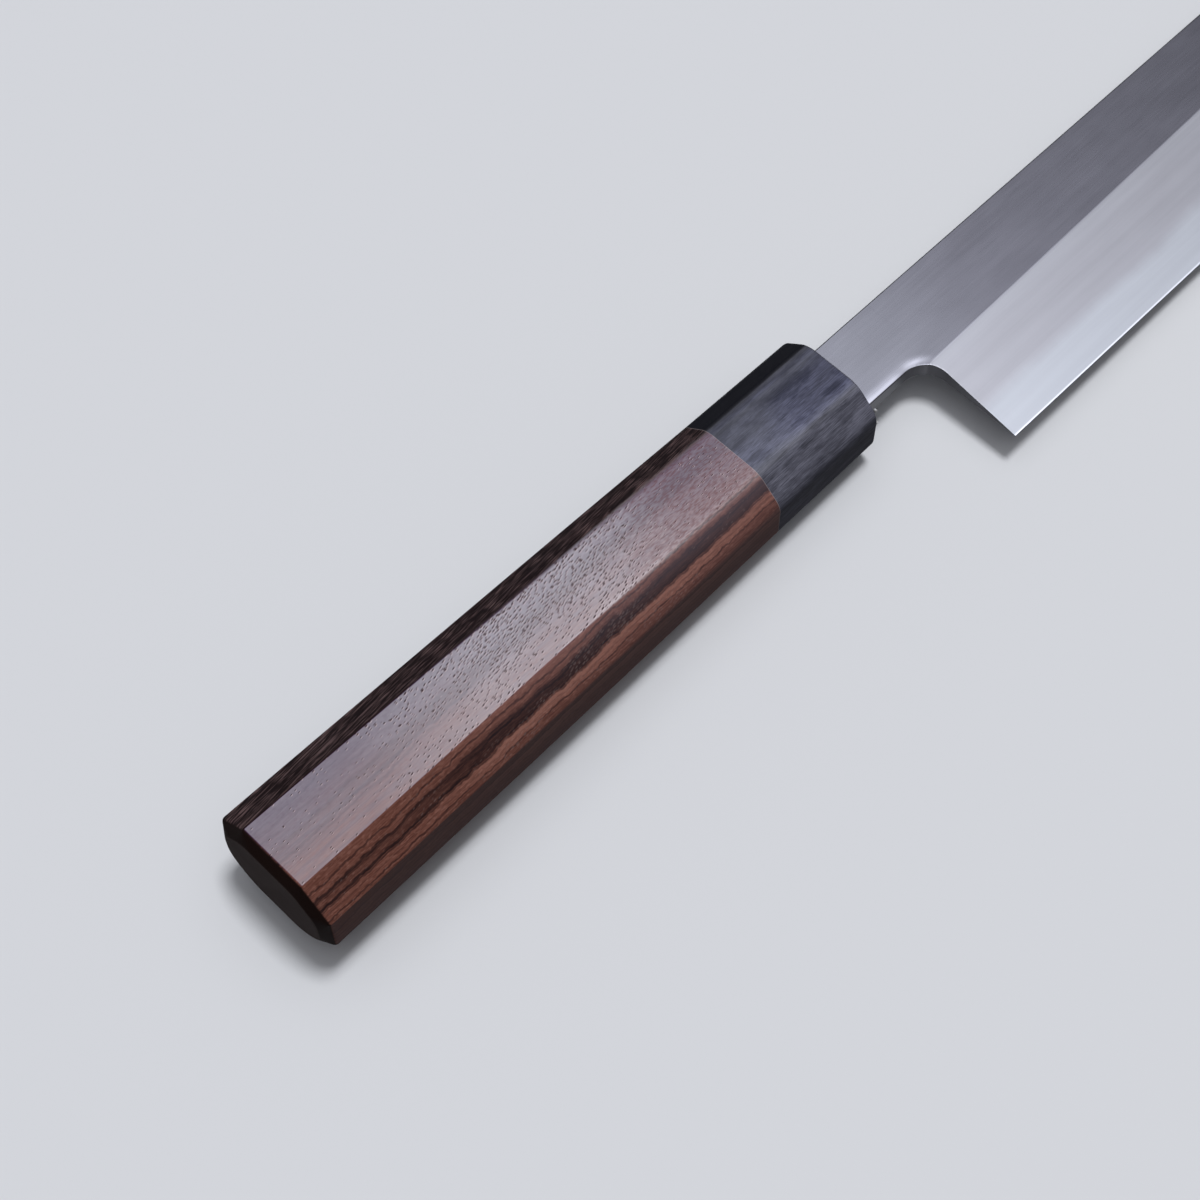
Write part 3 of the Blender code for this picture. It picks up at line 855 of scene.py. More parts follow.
@dataclass(frozen=True)
class RosewoodFinish:
    """Oiled dark rosewood: brown with near-black wavy streaks, short open pores and a satin sheen, which
    comes partly from the coat and is partly painted into the colour as light and shade.

    A grain is the length, width and detail of streaks, and a relief the distance and strength of a bump.
    The other zones say from where to where a step runs, and its two ends unless they are 0 and 1.
    """

    name: str = "oiled_rosewood"
    brown: Colour = (0.122, 0.044, 0.031)
    tan: Colour = (0.255, 0.112, 0.082)
    # painted reflection of the light, laid over the wood as a grey-lilac veil
    painted_reflection_veil: Colour = (0.330, 0.270, 0.310)
    # dust and wax in the pores, and partly a painted glint of light on their edges
    dust_and_glint: Colour = (0.400, 0.310, 0.290)
    # painted highlight along one side of each pore, where its rim would catch the light
    lip: Colour = (0.660, 0.480, 0.480)
    inside_pore: Colour = (0.026, 0.010, 0.011)
    black: Colour = (0.010, 0.006, 0.007)
    heartwood: Colour = (0.005, 0.003, 0.004)
    # painted tint of the sheen, for the heartwood on the broad facets
    painted_sheen_purple: Colour = (0.048, 0.020, 0.050)
    # painted tint of the sheen on the broad facets
    painted_sheen_lilac: Colour = (0.096, 0.056, 0.120)
    rose: Colour = (0.190, 0.066, 0.086)
    thread: Colour = (0.250, 0.158, 0.152)
    fleck: Colour = (0.138, 0.048, 0.046)
    # painted shade on the upright sides
    painted_side_shade: Colour = (0.072, 0.050, 0.050)
    rim_grain: Colour = (0.010, 0.005, 0.004)
    end_grain: Colour = (0.064, 0.050, 0.047)
    glue: Colour = (0.420, 0.330, 0.310)
    patch_size: float = 7.0
    hair_grain: Zone = (3.2, 0.20, 3.0)
    ribbon_grain: Zone = (36.0, 1.1, 2.0)
    fleck_grain: Zone = (1.1, 0.24, 2.0)
    broad_thread_grain: Zone = (9.0, 0.50, 2.0)
    fine_thread_grain: Zone = (4.0, 0.17, 1.0)
    speck_scale: Colour = (1.1, 2.6, 2.6)
    band_spacing: float = 4.4
    line_spacing: float = 0.85
    layer_shift: float = 18.1
    across_layers: Colour = (-0.026, 0.800, 0.600)
    around_radius: float = 11.0
    pore_turn_degrees: float = -12.0
    thread_turn_degrees: float = -7.0
    pore_size: Zone = (1.00, 0.31, 0.46)
    pore_highlight_shift: float = 0.12
    front: Zone = (70.0, 96.0)
    arris_softens: Zone = (45.0, 100.0)
    dark_past_arris: Zone = (-0.15, 0.45)
    pale_along: Zone = (20.0, 48.0)
    pale_across: Zone = (-10.0, -8.5, 0.74, 0.20)
    bands_fill: Zone = (8.0, 44.0, 0.34, 0.92)
    heart_across: Zone = (-8.5, 7.0, 0.05, 0.94)
    painted_reflection_veil_along: Zone = (20.0, 100.0, 0.0, 0.20)
    painted_reflection_veil_across: Zone = (-9.8, -6.5, 0.26, 1.0)
    rose_across: Zone = (-5.0, 5.5, 1.0, 0.10)
    flecks_along: Zone = (70.0, 88.0, 0.06, 0.86)
    threads_along: Zone = (25.0, 42.0, 0.46, 0.16)
    pores_start: Zone = (14.0, 52.0)
    pores_end: Zone = (72.0, 92.0, 1.0, 0.0)
    rubbed_along: Zone = (15.0, 50.0, 0.57, 1.0)
    unrubbed_across: Zone = (-6.0, 5.0, 0.60, 0.70)
    joint_line: Zone = (0.03, 0.10, 0.40, 0.0)
    roughness: float = 0.60
    specular: float = 0.02
    coat_roughness: float = 0.60
    coat_index: float = 3.08
    relief: Zone = (0.00008, 0.50)

    def material(self, effects: Effects) -> Material:
        """Material of this finish.

        Args:
            effects: The shared effects.

        Returns:
            The new material.
        """
        surface = Surface(self.name, effects)
        x, y = surface.x, surface.y
        patches = surface.clouds(self.patch_size)
        hair = surface.fibres(*self.hair_grain).step(0.30, 0.70)
        specks = surface.noise(surface.place.scaled(self.speck_scale), 1.0).step(0.52, 0.68)
        front = x.step(*self.front)
        facet = surface.effect(effects.polish, Slanting=0.0, Arris=x.step(*self.arris_softens))
        broad = facet["Broad"]
        streak, pale = self.streaks(surface)
        streak = ((0.5 - hair) * 0.14 + streak).at_least(0.0).at_most(1.0) * broad.step(0.0, 1.0, 1.0, 0.55)
        dark_side = surface.past_arris().step(*self.dark_past_arris)
        bright_side = 1.0 - dark_side
        light = hair * 0.40 + specks * 0.36 + pale * y.step(*self.pale_across) * x.step(*self.pale_along)
        heart = ((patches - 0.5) * 9.0 + y).step(*self.heart_across) + front * -0.18
        # On the broad facets the heartwood turns purple: a painted tint of the sheen.
        heart_colour = surface.blend(broad, self.heartwood, self.painted_sheen_purple)
        wood = surface.blend(light, self.brown, self.tan)
        wood = wood.towards(heart_colour, heart.at_least(dark_side * 0.97))
        wood = wood.towards(self.black, streak)
        # Painted reflection: a grey-lilac veil over the top facet and the -Y chamfer by its arris, growing
        # towards the front.
        wood = wood.towards(self.painted_reflection_veil, bright_side * (x.step(*self.painted_reflection_veil_along) * y.step(*self.painted_reflection_veil_across)))
        flat = surface.unrolled(self.around_radius)
        wood = wood.towards(self.thread, self.threads(surface, flat) * dark_side)
        # Painted shade: the upright sides are darkened and greyed.
        wood = wood.towards(self.painted_side_shade, facet["Side"] * 0.62)
        # Painted sheen: the broad facets go a third of the way to lilac, with rose where the long ribbons of
        # the wood run.
        ribbons = surface.fibres(*self.ribbon_grain).step(0.30, 0.68)
        rosy = ribbons * y.step(*self.rose_across) * (front * -0.45 + 1.0)
        wood = wood.towards(surface.blend(rosy, self.painted_sheen_lilac, self.rose), broad * 0.34)
        fleck = surface.fibres(*self.fleck_grain).step(0.34, 0.66, -0.5, 0.5) * x.step(*self.flecks_along)
        wood = wood.towards(self.fleck, broad * (fleck * -1.05).at_least(0.0))
        pore, lip = self.pores(surface, flat, patches)
        # Paler pores on the slanting facets: dust and wax, and partly a painted glint on the pore edges.
        dust_and_glint_share = bright_side * patches.step(0.44, 0.58) * (streak * 0.10 + 0.05)
        dust_and_glint = wood.towards(self.dust_and_glint, pore * dust_and_glint_share)
        # Pores on the broad facets are dark, with a painted highlight along one side of each.
        open_pore = wood.towards(self.inside_pore, pore * 0.95).towards(self.lip, lip * 0.42)
        colour = dust_and_glint.towards(open_pore, broad).towards(self.rim_grain, facet["Rim"])
        colour = colour.towards(self.end_grain, facet["End"])
        rubbed = x.step(*self.rubbed_along) * (1.0 - front * y.step(*self.unrubbed_across))
        polish = facet["Share"] * rubbed * patches.step(0.25, 0.65, 0.84, 1.0) * (hair * 0.12 + 0.90)
        polish = polish * (fleck + 1.0) * (specks * -0.14 + 1.0) * (streak * -0.22 + 1.0)
        return surface.finish({
            "Base Color": colour.towards(self.glue, surface.from_joint().step(*self.joint_line)),
            "Specular IOR Level": self.specular,
            "Roughness": (patches - 0.5) * 0.22 + self.roughness + facet["End"] * 0.20 + pore * 0.15,
            "Coat Weight": polish * (pore * -0.95 + 1.0),
            "Coat Roughness": self.coat_roughness,
            "Coat IOR": self.coat_index,
            "Normal": surface.bump(hair * 0.08 + pore * -0.35, *self.relief),
        })

    def threads(self, surface: Surface, flat: Value) -> Value:
        """Brown threads that cross the dark +Y facet at a slight slant, clearest near the butt.

        Args:
            surface: Nodes of the material.
            flat: Place on the handle's surface laid flat.

        Returns:
            Share of the threads' colour.
        """
        turned = surface.turned(flat, self.thread_turn_degrees)
        broad = surface.fibres(*self.broad_thread_grain, turned).step(0.52, 0.68)
        fine = surface.fibres(*self.fine_thread_grain, turned).step(0.57, 0.68)
        return (broad * surface.x.step(*self.threads_along)).at_least(fine * 0.58)

    def streaks(self, surface: Surface) -> tuple[Value, Value]:
        """Dark growth layers: thin lines, and broad bands with one crisp side, narrow at the butt.

        Args:
            surface: Nodes of the material.

        Returns:
            Share of black, and the share of pale wood along the crisp side of each band.
        """
        bands = surface.growth(self.across_layers, self.layer_shift, self.band_spacing)
        lines = surface.growth(self.across_layers, self.layer_shift, self.line_spacing)
        phase, strength = bands["Phase"], bands["Strength"]
        filled = phase.step(0.40, 0.72, 1.0, 0.0) * surface.x.step(*self.bands_fill)
        rim = phase.step(0.11, 0.22, 1.0, 0.0)
        inner = abs(phase - 0.47).step(0.03, 0.10, 0.92, 0.0)
        marked = strength.step(0.02, 0.60) * strength.step(0.80, 0.87, 1.0, 0.34)
        band = phase.step(0.01, 0.06) * filled.at_least(rim).at_least(inner) * marked
        line = abs(lines["Phase"] - 0.5).step(0.06, 0.30, 1.0, 0.0) * lines["Strength"].step(0.25, 0.80)
        return (band * (line * 0.14 + 0.87)).at_least(line * 0.62), phase.step(0.50, 0.92)

    def pores(self, surface: Surface, flat: Value, patches: Value) -> tuple[Value, Value]:
        """Open pores, thickest about the middle of the handle.

        Args:
            surface: Nodes of the material.
            flat: Place on the handle's surface laid flat.
            patches: Soft patches, in some of which the pores are fewer.

        Returns:
            Mask of the pores and that of a painted highlight along one side of each.
        """
        presence = surface.x.step(*self.pores_start) * surface.x.step(*self.pores_end) * 0.58 + 0.12
        presence = presence * patches.step(0.36, 0.56, 0.50, 1.10)
        pore, beside = [surface.vessels(surface.turned(flat, self.pore_turn_degrees, shift), self.pore_size,
                                        presence) for shift in (0.0, self.pore_highlight_shift)]
        return pore, beside * (1.0 - pore)


@dataclass(frozen=True)
class PakkawoodFinish:
    """Black dyed laminated wood with fine grey-blue striations along it, a painted blue-grey sheen on its
    broad facets and painted shade on its sides.
    """

    name: str = "black_laminated_wood"
    black: Colour = (0.007, 0.007, 0.010)
    grey: Colour = (0.186, 0.184, 0.226)
    # painted tint of the sheen on the broad facets
    painted_sheen_blue_grey: Colour = (0.152, 0.156, 0.234)
    glue: Colour = (0.340, 0.310, 0.310)
    patch_size: float = 2.2
    fine_grain: Zone = (2.4, 0.13, 3.0)
    broad_grain: Zone = (12.0, 1.10, 3.0)
    dark_past_arris: Zone = (0.0, 0.5, 1.0, 0.0)
    grey_across: Zone = (-6.0, 6.0, 0.66, 0.22)
    painted_sheen_across: Zone = (-7.0, 7.0, 0.38, 0.26)
    smudge_low: Zone = (-6.8, -3.5, 0.35, 1.0)
    smudge_high: Zone = (1.5, 5.0, 1.0, 0.0)
    smudge_along: Zone = (110.0, 120.0, 0.10, 1.0)
    joint_line: Zone = (0.03, 0.08, 0.25, 0.0)
    roughness: float = 0.60
    specular: float = 0.02
    coat: float = 0.50
    coat_roughness: float = 0.52
    coat_index: float = 1.90
    slanting_polish: float = 0.015
    relief: Zone = (0.00002, 0.40)

    def material(self, effects: Effects) -> Material:
        """Material of this finish.

        Args:
            effects: The shared effects.

        Returns:
            The new material.
        """
        surface = Surface(self.name, effects)
        x, y = surface.x, surface.y
        fine = surface.fibres(*self.fine_grain)
        patches = surface.clouds(self.patch_size)
        facet = surface.effect(effects.polish, Slanting=self.slanting_polish)
        lines = fine.step(0.25, 0.78)
        bands = surface.fibres(*self.broad_grain).step(0.34, 0.68, 0.62, 1.0)
        cloudy = patches.step(0.34, 0.60, 0.68, 1.0)
        lit_side = surface.past_arris().step(*self.dark_past_arris)
        # Painted light and shade: the grey striations and a grey haze of painted sheen fade towards +Y and
        # stop past the +Y arris.
        grey = lines * bands * (cloudy * (y.step(*self.grey_across) * lit_side))
        haze = cloudy * bands * (y.step(*self.painted_sheen_across) * lit_side)
        # Painted shade: on the upright sides the grey share falls to less than half.
        share = (grey + haze).at_most(1.0) * facet["Side"].step(0.0, 1.0, 1.0, 0.45)
        # The broad facets take the bluer grey, a painted tint of their sheen.
        pale = surface.blend(facet["Broad"], self.grey, self.painted_sheen_blue_grey)
        colour = surface.blend(share, self.black, pale)
        smudge = y.step(*self.smudge_low) * y.step(*self.smudge_high) * x.step(*self.smudge_along)
        smudge = smudge * patches.step(0.40, 0.56, 0.96, 0.76)
        polish = facet["Share"] * (cloudy * self.coat) * (1.0 - smudge) * (lines * 0.10 + 0.90)
        return surface.finish({
            "Base Color": colour.towards(self.glue, surface.from_joint().step(*self.joint_line)),
            "Specular IOR Level": self.specular,
            "Roughness": (patches - 0.5) * 0.30 + self.roughness,
            "Coat Weight": polish,
            "Coat Roughness": self.coat_roughness,
            "Coat IOR": self.coat_index,
            "Normal": surface.bump(fine, *self.relief),
        })


@dataclass(frozen=True)
class HardwoodFinish:
    """Bare pale hardwood, turned on a lathe."""

    name: str = "bare_pale_hardwood"
    light: Colour = (0.58, 0.41, 0.25)
    dark: Colour = (0.38, 0.23, 0.12)
    grain: Zone = (6.0, 0.15, 2.0)
    across_layers: Colour = (0.02, 0.9, 0.4)
    layer_spacing: float = 1.6
    layer_waviness: float = 0.5
    around_radius: float = 6.8
    pore_size: Zone = (1.2, 0.4, 0.16)
    relief: Zone = (0.00005, 0.6)

    def material(self, effects: Effects) -> Material:
        """Material of this finish.

        Args:
            effects: The shared effects.

        Returns:
            The new material.
        """
        surface = Surface(self.name, effects)
        layers = surface.growth(self.across_layers, 0.0, self.layer_spacing, self.layer_waviness)
        late = surface.math("POWER", layers["Phase"], 3.0)
        pores = surface.vessels(surface.unrolled(self.around_radius), self.pore_size)
        share = (surface.fibres(*self.grain) * 0.4 + late * 0.6 + pores * 0.7).at_most(1.0)
        return surface.finish({
            "Base Color": surface.blend(share, self.light, self.dark),
            "Roughness": share.step(0.0, 1.0, 0.52, 0.68),
            "Normal": surface.bump(1.0 - share, *self.relief),
        })


@dataclass(frozen=True)
class ResinFinish:
    """Set resin with small bubbles and cloudy patches."""

    name: str
    clear: Colour
    cloudy: Colour
    roughness: float
    patch_size: float = 1.4
    around_radius: float = 6.0
    bubble_size: Zone = (0.7, 0.7, 0.22)
    relief: Zone = (0.00006, 0.6)
    subsurface: float = 0.15
    subsurface_radius: Colour = (0.0006, 0.0005, 0.0004)

    def material(self, effects: Effects) -> Material:
        """Material of this finish.

        Args:
            effects: The shared effects.

        Returns:
            The new material.
        """
        surface = Surface(self.name, effects)
        patches = surface.clouds(self.patch_size)
        bubbles = surface.vessels(surface.unrolled(self.around_radius), self.bubble_size)
        share = patches.step(0.3, 0.7)
        return surface.finish({
            "Base Color": surface.blend(share, self.clear, self.cloudy).towards(self.cloudy, bubbles),
            "Roughness": share * 0.25 + self.roughness,
            "Normal": surface.bump(bubbles * 0.4 + patches, *self.relief),
            "Subsurface Weight": self.subsurface,
            "Subsurface Radius": self.subsurface_radius,
        })


class BladeLayer(Enum):
    """The two metals of the blade."""

    SOFT_IRON = "satin_soft_iron"
    HARD_STEEL = "bright_hard_steel"


@dataclass(frozen=True)
class GroundSteelFinish:
    """Ground blade: satin flat, hazy soft iron and bright hard steel on the bevel, hollow back, with light
    and shade partly painted in: a reflection on the flat by the neck, a highlight along the cutting edge,
    shade on walls and rims and a dimmed highlight by the choil.

    Both metals are worked out at every point, so that the line between them runs on unbroken from one
    piece to the other.
    """

    layer: BladeLayer
    flat: Colour = (0.405, 0.398, 0.458)
    # painted reflection: the flat's lighter colour by the neck
    flat_with_painted_reflection: Colour = (0.468, 0.468, 0.526)
    haze: Colour = (0.288, 0.286, 0.310)
    hard: Colour = (0.350, 0.361, 0.391)
    # painted highlight along the cutting edge
    edge: Colour = (0.600, 0.615, 0.660)
    back: Colour = (0.520, 0.525, 0.560)
    # painted shade on the walls and eased rims
    painted_wall_shade: Colour = (0.120, 0.120, 0.130)
    line_grain: Zone = (26.0, 0.07, 3.0)
    band_grain: Zone = (60.0, 1.6, 2.0)
    patch_size: float = 6.0
    painted_reflection_along_neck: Zone = (136.0, 172.0, 1.0, 0.0)
    past_ridge: Zone = (-0.48, 0.18)
    below_ridge: Zone = (0.0, 5.5, 1.0, 0.0)
    painted_edge_highlight: Zone = (0.15, 0.40, 1.0, 0.0)
    hollow_lift: Zone = (0.002, 0.010)
    # painted shade that dims the highlight on the rolled rim by the choil
    choil_painted_dimming: Zone = (138.5, 142.5, -0.14, -0.62)
    choil_matt: Zone = (140.5, 144.0, 0.06, 0.24)
    choil_rim_width: float = 2.0
    flat_roughness: float = 0.240
    haze_roughness: float = 0.48
    hard_roughness: float = 0.50
    line_relief: Zone = (0.000004, 0.30)
    band_relief: Zone = (0.00001, 0.20)

    def material(self, effects: Effects) -> Material:
        """Material of this finish.

        Args:
            effects: The shared effects.

        Returns:
            The new material.
        """
        surface = Surface(self.layer.value, effects)
        x = surface.x
        zones = surface.effect(effects.blade_zones, Vector=surface.place)
        lines = surface.fibres(*self.line_grain)
        bands = surface.fibres(*self.band_grain)
        patches = surface.clouds(self.patch_size)
        rolled = self.near_choil(surface)
        bevel = zones["From Ridge"].step(*self.past_ridge)
        soft = surface.blend(zones["From Ridge"].step(*self.below_ridge) * 0.15, self.haze, self.hard)
        # Painted reflection: the flat is lighter towards the neck.
        flat = surface.blend(x.step(*self.painted_reflection_along_neck), self.flat, self.flat_with_painted_reflection)
        colour = flat.towards(soft.towards(self.hard, zones["Hard"]), bevel)
        tone = (lines * 0.5 + bands * 0.5).step(0.25, 0.75, 0.94, 1.06) * patches.step(0.25, 0.75, 0.98, 1.02)
        # Painted shade: the rolled rim is darkened towards the choil, dimming its highlight.
        tone = tone * (rolled * x.step(*self.choil_painted_dimming) + 1.0)
        colour = colour.scaled(surface.vector(tone, tone, tone))
        # Painted highlight: a bright line along the cutting edge.
        colour = colour.towards(self.edge, zones["From Edge"].step(*self.painted_edge_highlight))
        upwards = surface.coordinates("Normal").parts()[2]
        under = surface.math("LESS_THAN", upwards, -0.5)
        hollow = under * (surface.z - LINES.back_z * MILLIMETRES).step(*self.hollow_lift)
        # Painted shade: faces tilted more than about ten degrees, the walls and eased rims, are darkened,
        # which also dims their highlights.
        painted_wall_shade = abs(upwards).step(0.86, 0.98, 1.0, 0.0)
        colour = colour.towards(self.back, under).towards(self.haze, hollow * 0.6).towards(self.painted_wall_shade, painted_wall_shade)
        rough = bevel.step(0.0, 1.0, self.flat_roughness, self.haze_roughness)
        rough = zones["Hard"] * bevel * (self.hard_roughness - self.haze_roughness) + rough
        rough = rough + painted_wall_shade * 0.14 + rolled * x.step(*self.choil_matt) + hollow * 0.06
        fine = surface.bump(lines, *self.line_relief)
        return surface.finish({
            "Base Color": colour,
            "Roughness": rough + (lines - 0.5) * 0.08 + (patches - 0.5) * 0.05,
            "Metallic": 1.0,
            "Normal": surface.bump(bands, *self.band_relief, Normal=fine),
        })

    def near_choil(self, surface: Surface) -> Value:
        """Where the hand-rubbed rim is: the neck's lower rim and the first half of the choil.

        Args:
            surface: Nodes of the material.

        Returns:
            Share of the rim, which is 1 on it.
        """
        radius = LINES.choil_radius * MILLIMETRES
        across = (surface.x - (LINES.heel_x * MILLIMETRES - radius)).at_least(0.0)
        above = (surface.y - (-LINES.spine_y * MILLIMETRES - radius)).at_least(0.0)
        away = surface.math("SQRT", across * across + above * above)
        near = away.step(radius, radius + self.choil_rim_width, 1.0, 0.0)
        return near * above.step(radius * 0.60, radius * 0.90)


@dataclass(frozen=True)
class FloorFinish:
    """Plain pale floor, which throws back only a little light and hides nothing from a view below it."""

    name: str = "pale_floor"
    seen: Colour = (0.66, 0.66, 0.66)
    bounced: Colour = (0.25, 0.25, 0.25)
    roughness: float = 0.8
    specular: float = 0.2

    def material(self) -> Material:
        """Material of this finish.

        Returns:
            The new material.
        """
        surface = Coating(self.name)
        rays = surface.spread("ShaderNodeLightPath", {})
        shown = rays["Is Camera Ray"].at_least(rays["Is Glossy Ray"]).at_least(rays["Is Transmission Ray"])
        below = surface.put("ShaderNodeNewGeometry", {}, "Backfacing") * rays["Is Camera Ray"]
        plain = Value(surface, surface.shader.outputs[0])
        clear = surface.put("ShaderNodeBsdfTransparent", {})
        seen = surface.put("ShaderNodeMixShader", {0: below, 1: plain, 2: clear})
        surface.feed(surface.tree.nodes["Material Output"].inputs["Surface"], seen)
        return surface.finish({
            "Base Color": surface.blend(shown, self.bounced, self.seen),
            "Roughness": self.roughness,
            "Specular IOR Level": self.specular,
        })


# Sub-assemblies


def install(piece: Piece, slot: str, *nodes: str) -> None:
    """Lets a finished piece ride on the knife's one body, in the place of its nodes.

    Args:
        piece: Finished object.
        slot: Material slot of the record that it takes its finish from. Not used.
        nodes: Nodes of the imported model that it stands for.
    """
    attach(piece, "root")
    if nodes:
        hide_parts(*nodes)
    LOG.info("%s: %d vertices, stands for %s", piece.name, len(piece.data.vertices), ", ".join(nodes) or "-")


@dataclass
class HandleBody:
    """Rosewood body: a tapering octagon with a chamfered butt, bored from the front."""

    chamfer_depth: float = 0.0016
    chamfer_inset: float = 0.0020
    rim_easing: float = 0.00043
    rim_steps: int = 3
    end_corner: float = 0.0025
    arris_at_butt: float = 0.00014
    arris_at_front: float = 0.00150
    arris_growth: float = 2.4
    stations: int = 10
    corner_steps: int = 6
    bore_sides: int = 56
    drill_tip_radius: float = 0.0003
    sharp_degrees: float = 30.0

    def arris(self, x: float) -> float:
        """Width by which the corners are rounded: broad on the end face, then crisp, and soft in front.

        Args:
            x: The station.

        Returns:
            The width there.
        """
        if x < self.chamfer_depth:
            return self.end_corner
        return mix(self.arris_at_butt, self.arris_at_front, (x / JOINERY.joint_x) ** self.arris_growth)

    def build(self) -> Piece:
        """Mesh of the body.

        Returns:
            The finished piece.
        """
        bm = bmesh.new()
        outer = [(0.0, self.chamfer_inset)]
        for step in range(self.stations + 1):
            outer.append((mix(self.chamfer_depth, JOINERY.joint_x, step / self.stations), 0.0))
        rings = [rounded_ring(bm, TAPER.corners(x, inset), self.arris(x), self.corner_steps)
                 for x, inset in outer]
        bmesh.ops.contextual_create(bm, geom=rings[0])
        socket_end = JOINERY.joint_x - JOINERY.dowel_in_body - JOINERY.fit_gap
        bore_radius = JOINERY.bore_diameter / 2
        bore_end = LINES.tang_end_x - JOINERY.bore_past_tang
        tip = bore_radius / math.tan(math.radians(JOINERY.drill_point_degrees / 2))
        inner = [(JOINERY.joint_x, JOINERY.socket_radius), (socket_end, JOINERY.socket_radius),
                 (socket_end, bore_radius), (bore_end, bore_radius), (bore_end - tip, self.drill_tip_radius)]
        rings += [circle_ring(bm, x, radius, self.bore_sides) for x, radius in inner]
        bridge(bm, rings)
        bmesh.ops.contextual_create(bm, geom=rings[-1])
        rims = [edge for edge in bm.edges if on_station(edge, 0.0) or on_station(edge, self.chamfer_depth)]
        bmesh.ops.bevel(bm, geom=rims, offset=self.rim_easing, segments=self.rim_steps, profile=0.5,
                        affect="EDGES", material=-1)
        piece = closed_object("rosewood_body", bm)
        smooth(piece, self.sharp_degrees)
        return piece

    def dress(self, piece: Piece, effects: Effects) -> None:
        """Finishes the body and puts it in the place of its node."""
        dress(piece, RosewoodFinish().material(effects))
        install(piece, "rosewood", "handle_body")


@dataclass
class Ferrule:
    """Black front piece of the handle: the octagon carried on, with a rounded rim and the neck's mouth."""

    rim_radius: float = 0.0005
    rim_steps: int = 5
    arris_at_joint: float = 0.00150
    arris_at_rim: float = 0.00170
    corner_steps: int = 6
    mouth_corner: float = 0.0004
    mouth_steps: int = 3
    bore_sides: int = 56
    sharp_degrees: float = 30.0

    def build(self) -> Piece:
        """Mesh of the ferrule.

        Returns:
            The finished piece.
        """
        bm = bmesh.new()
        start_x, end_x = JOINERY.joint_x, TAPER.length
        rim_start = end_x - self.rim_radius
        outer = [(start_x, 0.0), (mix(start_x, rim_start, 0.5), 0.0)]
        for step in range(self.rim_steps + 1):
            turn = math.pi / 2 * step / self.rim_steps
            x = rim_start + self.rim_radius * math.sin(turn)
            outer.append((x, self.rim_radius * (1 - math.cos(turn))))
        rings = []
        for x, inset in outer:
            width = mix(self.arris_at_joint, self.arris_at_rim, (x - start_x) / (end_x - start_x))
            rings.append(rounded_ring(bm, TAPER.corners(x, inset), width, self.corner_steps))
        room = JOINERY.seal_wall + JOINERY.fit_gap * 2
        mouth = (LINES.spine_y + room, LINES.spine_thickness / 2 + room)
        floor_x = JOINERY.shoulder_x - JOINERY.fit_gap
        socket_x = start_x + JOINERY.dowel_in_ferrule + JOINERY.fit_gap
        for x, half in ((end_x, mouth), (floor_x, mouth), (floor_x, self.slot(floor_x)),
                        (socket_x, self.slot(socket_x))):
            rings.append(rounded_ring(bm, box_corners(x, *half), self.mouth_corner, self.mouth_steps))
        for x in (socket_x, start_x):
            rings.append(circle_ring(bm, x, JOINERY.socket_radius, self.bore_sides))
        bridge(bm, rings + [rings[0]])
        piece = closed_object("ferrule_shell", bm)
        smooth(piece, self.sharp_degrees)
        return piece

    def slot(self, x: float) -> Corner:
        """Half height and half thickness of the slot that the tang passes through."""
        return LINES.tang_half_width(x) + JOINERY.fit_gap, LINES.flat_thickness(x) / 2 + JOINERY.fit_gap

    def dress(self, piece: Piece, effects: Effects) -> None:
        """Finishes the ferrule and puts it in the place of its node."""
        dress(piece, PakkawoodFinish().material(effects))
        install(piece, "black_pakkawood", "ferrule")


